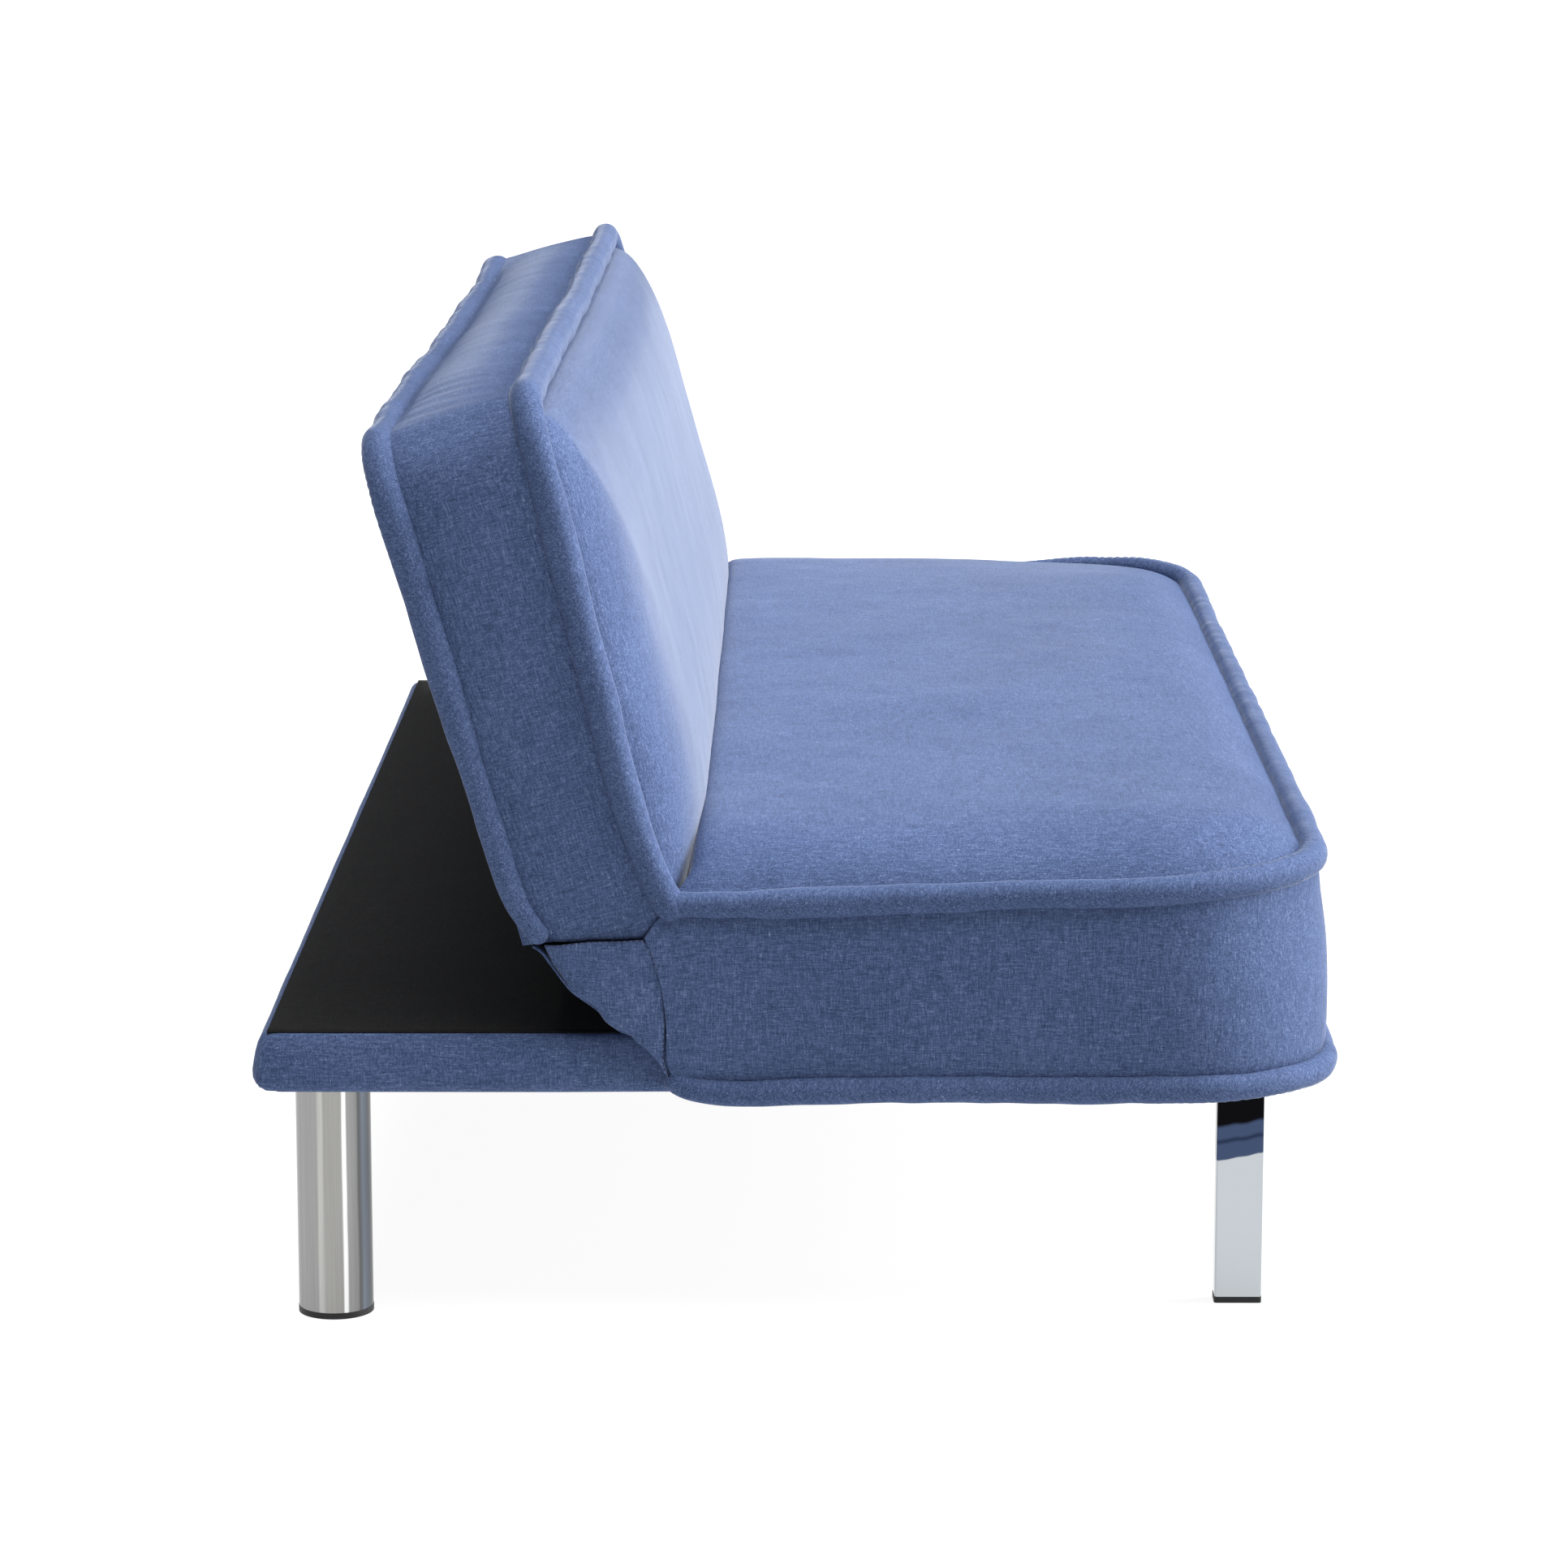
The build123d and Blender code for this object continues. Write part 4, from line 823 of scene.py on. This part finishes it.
def stitches(name, sgn, lines, mat=M_STITCH, x0=835.5, pitch=4.8, length=3.2, r=0.42):
    V, F = [], []
    for ln in lines:
        p = smooth_line(resample(ln, 120), 3)
        a = np.concatenate([[0], np.cumsum(np.hypot(*np.diff(p, axis=0).T))])
        n = int(a[-1] / pitch)
        for k in range(n):
            q0 = (k + 0.15) * pitch
            q1 = q0 + length
            ring = []
            for q, rr, dx in ((q0, 0.25, -0.5), (q0 + 0.3 * length, 1.0, 0.0), (q0 + 0.7 * length, 1.0, 0.0), (q1, 0.25, -0.5)):
                c = np.array([np.interp(q, a, p[:, 0]), np.interp(q, a, p[:, 1])])
                c2 = np.array([np.interp(q + 0.5, a, p[:, 0]), np.interp(q + 0.5, a, p[:, 1])])
                t = (c2 - c) / max(np.linalg.norm(c2 - c), 1e-6)
                nrm = np.array([-t[1], t[0]])
                for j in range(6):
                    an = j * pi / 3
                    d = nrm * cos(an) * r * rr
                    ring.append((sgn * (x0 + dx + sin(an) * r * rr), c[0] + d[0], c[1] + d[1]))
            b = len(V)
            V += ring
            for i in range(3):
                for j in range(6):
                    F.append((b + i * 6 + j, b + i * 6 + (j + 1) % 6, b + (i + 1) * 6 + (j + 1) % 6, b + (i + 1) * 6 + j))
            F.append(tuple(b + j for j in range(6)))
            F.append(tuple(b + 18 + j for j in range(5, -1, -1)))
    return fix_normals(make(name, V, F, mat))


def rear_web():
    prof = smooth_line(resample([(113.0, 239.6), (128.0, 239.6), (141.0, 240.6), (150.0, 244.0), (158.0, 250.5), (166.0, 261.0), (176.0, 268.0),
                                 (187.0, 275.5), (196.0, 287.0), (205.0, 299.0), (211.5, 308.5), (218.0, 312.0)], 44), 2)
    xs = np.linspace(-830.5, 830.5, 190)
    X, K = np.meshgrid(xs, np.arange(len(prof)), indexing="ij")
    Y = prof[:, 0][K.astype(int)]
    Z = prof[:, 1][K.astype(int)]
    v = K / (len(prof) - 1.0)
    w = np.sin(pi * np.clip((v - 0.2) / 0.8, 0, 1))
    sag = 2.2 * vnoise2(X / 64.0 + 4, v * 3 + 2, 131) + 1.0 * vnoise2(X / 24.0, v * 2.5 + 1, 132)
    nY, nZ = 0.75, -0.66
    Y = Y + w * (sag + 1.0) * nY
    Z = np.maximum(Z + w * (sag + 1.0) * nZ, 239.4)
    ob = make("rear_web", flat(X, Y, Z).reshape(-1, 3), grid_faces(len(xs), len(prof)), M_BLUE)
    solidify(ob, 1.2, 0)
    return apply_mods(ob)


def crease():
    """The tuck of cover cloth down between the seat and the back."""
    prof = smooth_line(resample([(97.0, 330.5), (101.0, 324.0), (107.0, 319.5), (113.5, 317.5)], 12), 2)
    xs = np.linspace(-812.0, 812.0, 150)
    X, K = np.meshgrid(xs, np.arange(len(prof)), indexing="ij")
    w = 0.8 * vnoise2(X / 50.0, K / 5.0, 171)
    ob = make("crease_cloth", flat(X, prof[:, 0][K] + w, prof[:, 1][K] - np.abs(w) * 0.5).reshape(-1, 3), grid_faces(len(xs), len(prof)), M_BLUE)
    solidify(ob, 1.0, 0)
    return apply_mods(ob)


crease_cloth = crease()
webs = []
for sgn, side in ((-1, "left"), (1, "right")):
    g = gusset(sgn, "gusset_" + side)
    st = stitches("gusset_stitches_" + side, sgn, [G_SEAM, G_TOP[::-1], [(130.9, 318.6), (126.7, 325.5), (121.3, 332.1)]])
    webs.append((g, st))
long_web = rear_web()

# ------------------------------------------------------------------ base covers
def base_loop(o, n_c=10):
    """U from the front right end round the rear: x, y of the base's upright face, o mm outside it."""
    pts = []
    hx, yf, yr, r = 815.5 + o, -317.0, 433.0 + o, 14.0 + o
    for yy in np.linspace(yf, yr - r, 70):
        pts.append((-hx, yy))
    for k in range(1, n_c):
        a = pi / 2 * k / n_c
        pts.append((-hx + r - r * cos(a), yr - r + r * sin(a)))
    for xx in np.linspace(-hx + r, hx - r, 160):
        pts.append((xx, yr))
    for k in range(1, n_c):
        a = pi / 2 * k / n_c
        pts.append((hx - r + r * sin(a), yr - r + r * cos(a)))
    for yy in np.linspace(yr - r, yf, 70):
        pts.append((hx, yy))
    return np.array(pts)


def base_wrap():
    prof = [(-9.0, 237.0), (-5.0, 237.6), (-2.4, 237.6), (-0.4, 236.2), (1.0, 233.0), (2.0, 228.0), (2.7, 221.0), (2.9, 214.0), (2.6, 206.0),
            (2.4, 199.5), (2.0, 195.0), (0.6, 192.0), (-2.4, 190.4), (-8.0, 190.0), (-16.0, 190.4), (-24.0, 191.0)]
    rings = []
    for o, z in prof:
        p = base_loop(o)
        s = np.concatenate([[0], np.cumsum(np.hypot(*np.diff(p, axis=0).T))])
        w = 0.7 * vnoise2(s / 120.0 + 1, z / 30.0 + 0 * s, 141) + 0.25 * vnoise2(s / 30.0, z / 22.0 + 0 * s, 142)
        rear = np.clip((p[:, 1] - 100.0) / 100.0, 0, 1)
        k = rear * w * (1.0 if 193 < z < 237 else 0.25) + rear * (5.4 * max(0.0, math.sin(pi * (z - 190.0) / 48.0)) ** 0.6 + 4.0 * exp(-((z - 200.0) / 12.0) ** 2))
        c = np.stack([np.sign(p[:, 0]) * (np.abs(p[:, 0]) > 812), np.where(p[:, 1] > 425, 1.0, 0.0)], -1)
        q = p + c * k[:, None]
        rings.append(flat(q[:, 0], q[:, 1], z + (0.25 * w if z > 237 else 0)))
    V = np.stack(rings, 0)
    n, m = V.shape[:2]
    ob = make("base_wrap_cover", V.reshape(-1, 3), grid_faces(n, m), M_BLUE)
    fix_normals(ob)
    solidify(ob, 1.2, -1)
    return apply_mods(ob)


base_cover = base_wrap()


def sheet_grid(name, x0, x1, y0, y1, z, amp, mat, nx, ny, seed, thick=0.9, rad=88.0, up=1):
    c = np.concatenate([np.linspace(-2, -1, 9)[:-1], np.linspace(-1, 1, nx), np.linspace(1, 2, 9)[1:]])
    r = np.concatenate([np.linspace(0, 1, ny), np.linspace(1, 2, 9)[1:]])
    X, Y = plan(c, r, x1, y1, y0, rad)
    d = np.minimum(x1 - np.abs(X), y1 - Y)
    Z = z + amp * vnoise2(X / 90.0, Y / 80.0, seed) * np.clip(d / 30.0, 0, 1) + amp * 0.4 * vnoise2(X / 30.0, Y / 30.0, seed + 1)
    ob = make(name, flat(X, Y, Z).reshape(-1, 3), grid_faces(len(c), len(r)), mat)
    fix_normals(ob)
    solidify(ob, thick, 0)
    return apply_mods(ob)


deck_cover = sheet_grid("deck_cover", -812.6, 812.6, -404.0, 430.6, 238.3, 0.25, M_BLACK, 90, 44, 151)
dust_cover = sheet_grid("dust_cover", -808.0, 808.0, -403.0, 425.0, 190.9, -0.5, M_DUST, 60, 34, 161)

# ------------------------------------------------------------------ riding, standing for
for ob in (seat_cushion, seat_top_welt, seat_low_welt, base_cover, deck_cover, dust_cover, crease_cloth):
    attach(ob, "base")
for ob in (back_cushion, back_front_welt, back_rear_welt):
    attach(ob, "back")

for (g, st), side in zip(webs, ("left", "right")):
    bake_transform(g)
    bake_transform(st)
    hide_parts("side_web_" + side)
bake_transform(long_web)

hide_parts("seat_foam", "seat_top_panel", "seat_side_band", "seat_side_wadding")
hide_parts("seat_top_roll")
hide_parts("seat_bottom_roll")
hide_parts("back_foam", "back_front_panel", "back_side_band", "back_side_wadding", "back_rear_panel")
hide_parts("back_front_roll")
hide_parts("back_rear_roll")
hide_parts("base_fabric_wrap")
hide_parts("platform_cloth")
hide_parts("base_dust_cover")

# ------------------------------------------------------------------ stage, light, camera
def stage_mat():
    m = bpy.data.materials.new("stage_white")
    nt, bs = nodes_of(m)
    bs.inputs["Base Color"].default_value = (0.16, 0.16, 0.16, 1)
    bs.inputs["Roughness"].default_value = 0.9
    bs.inputs["Specular IOR Level"].default_value = 0.0
    bs.inputs["Emission Color"].default_value = (1.0, 1.0, 1.0, 1)
    bs.inputs["Emission Strength"].default_value = 0.93
    return m


me = bpy.data.meshes.new("floor")
me.from_pydata([(-60, -60, -0.0006), (60, -60, -0.0006), (60, 60, -0.0006), (-60, 60, -0.0006)], [], [(0, 1, 2, 3)])
floor = bpy.data.objects.new("floor", me)
bpy.context.scene.collection.objects.link(floor)
me.materials.append(stage_mat())

w = bpy.data.worlds.new("studio")
bpy.context.scene.world = w
w.use_nodes = True
bg = w.node_tree.nodes["Background"]
bg.inputs[0].default_value = (0.95, 0.97, 1.0, 1)
bg.inputs[1].default_value = 0.16


def sun(name, direction, strength, angle, color=(1, 1, 1)):
    l = bpy.data.lights.new(name, "SUN")
    l.energy = strength
    l.angle = radians(angle)
    l.color = color
    o = bpy.data.objects.new(name, l)
    bpy.context.scene.collection.objects.link(o)
    o.rotation_euler = Vector(direction).to_track_quat("-Z", "Y").to_euler()
    return o


sun("overhead", (-0.03, 0.10, -1.0), 4.5, 60)
sun("front_soft", (-0.14, 0.93, -0.36), 5.95, 42)

cam_d = bpy.data.cameras.new("camera")
cam_d.lens = 119.07
cam_d.sensor_width = 36.0
cam_d.clip_end = 200.0
cam = bpy.data.objects.new("camera", cam_d)
bpy.context.scene.collection.objects.link(cam)
cam.location = (-4.812, 0.0, 1.219)
p_, q_ = radians(11.03), radians(0.287)
fw = Vector((cos(p_) * cos(q_), cos(p_) * sin(q_), -sin(p_)))
cam.rotation_euler = fw.to_track_quat("-Z", "Y").to_euler()
bpy.context.scene.camera = cam
bpy.context.scene.view_settings.view_transform = "Standard"
bpy.context.scene.view_settings.look = "None"
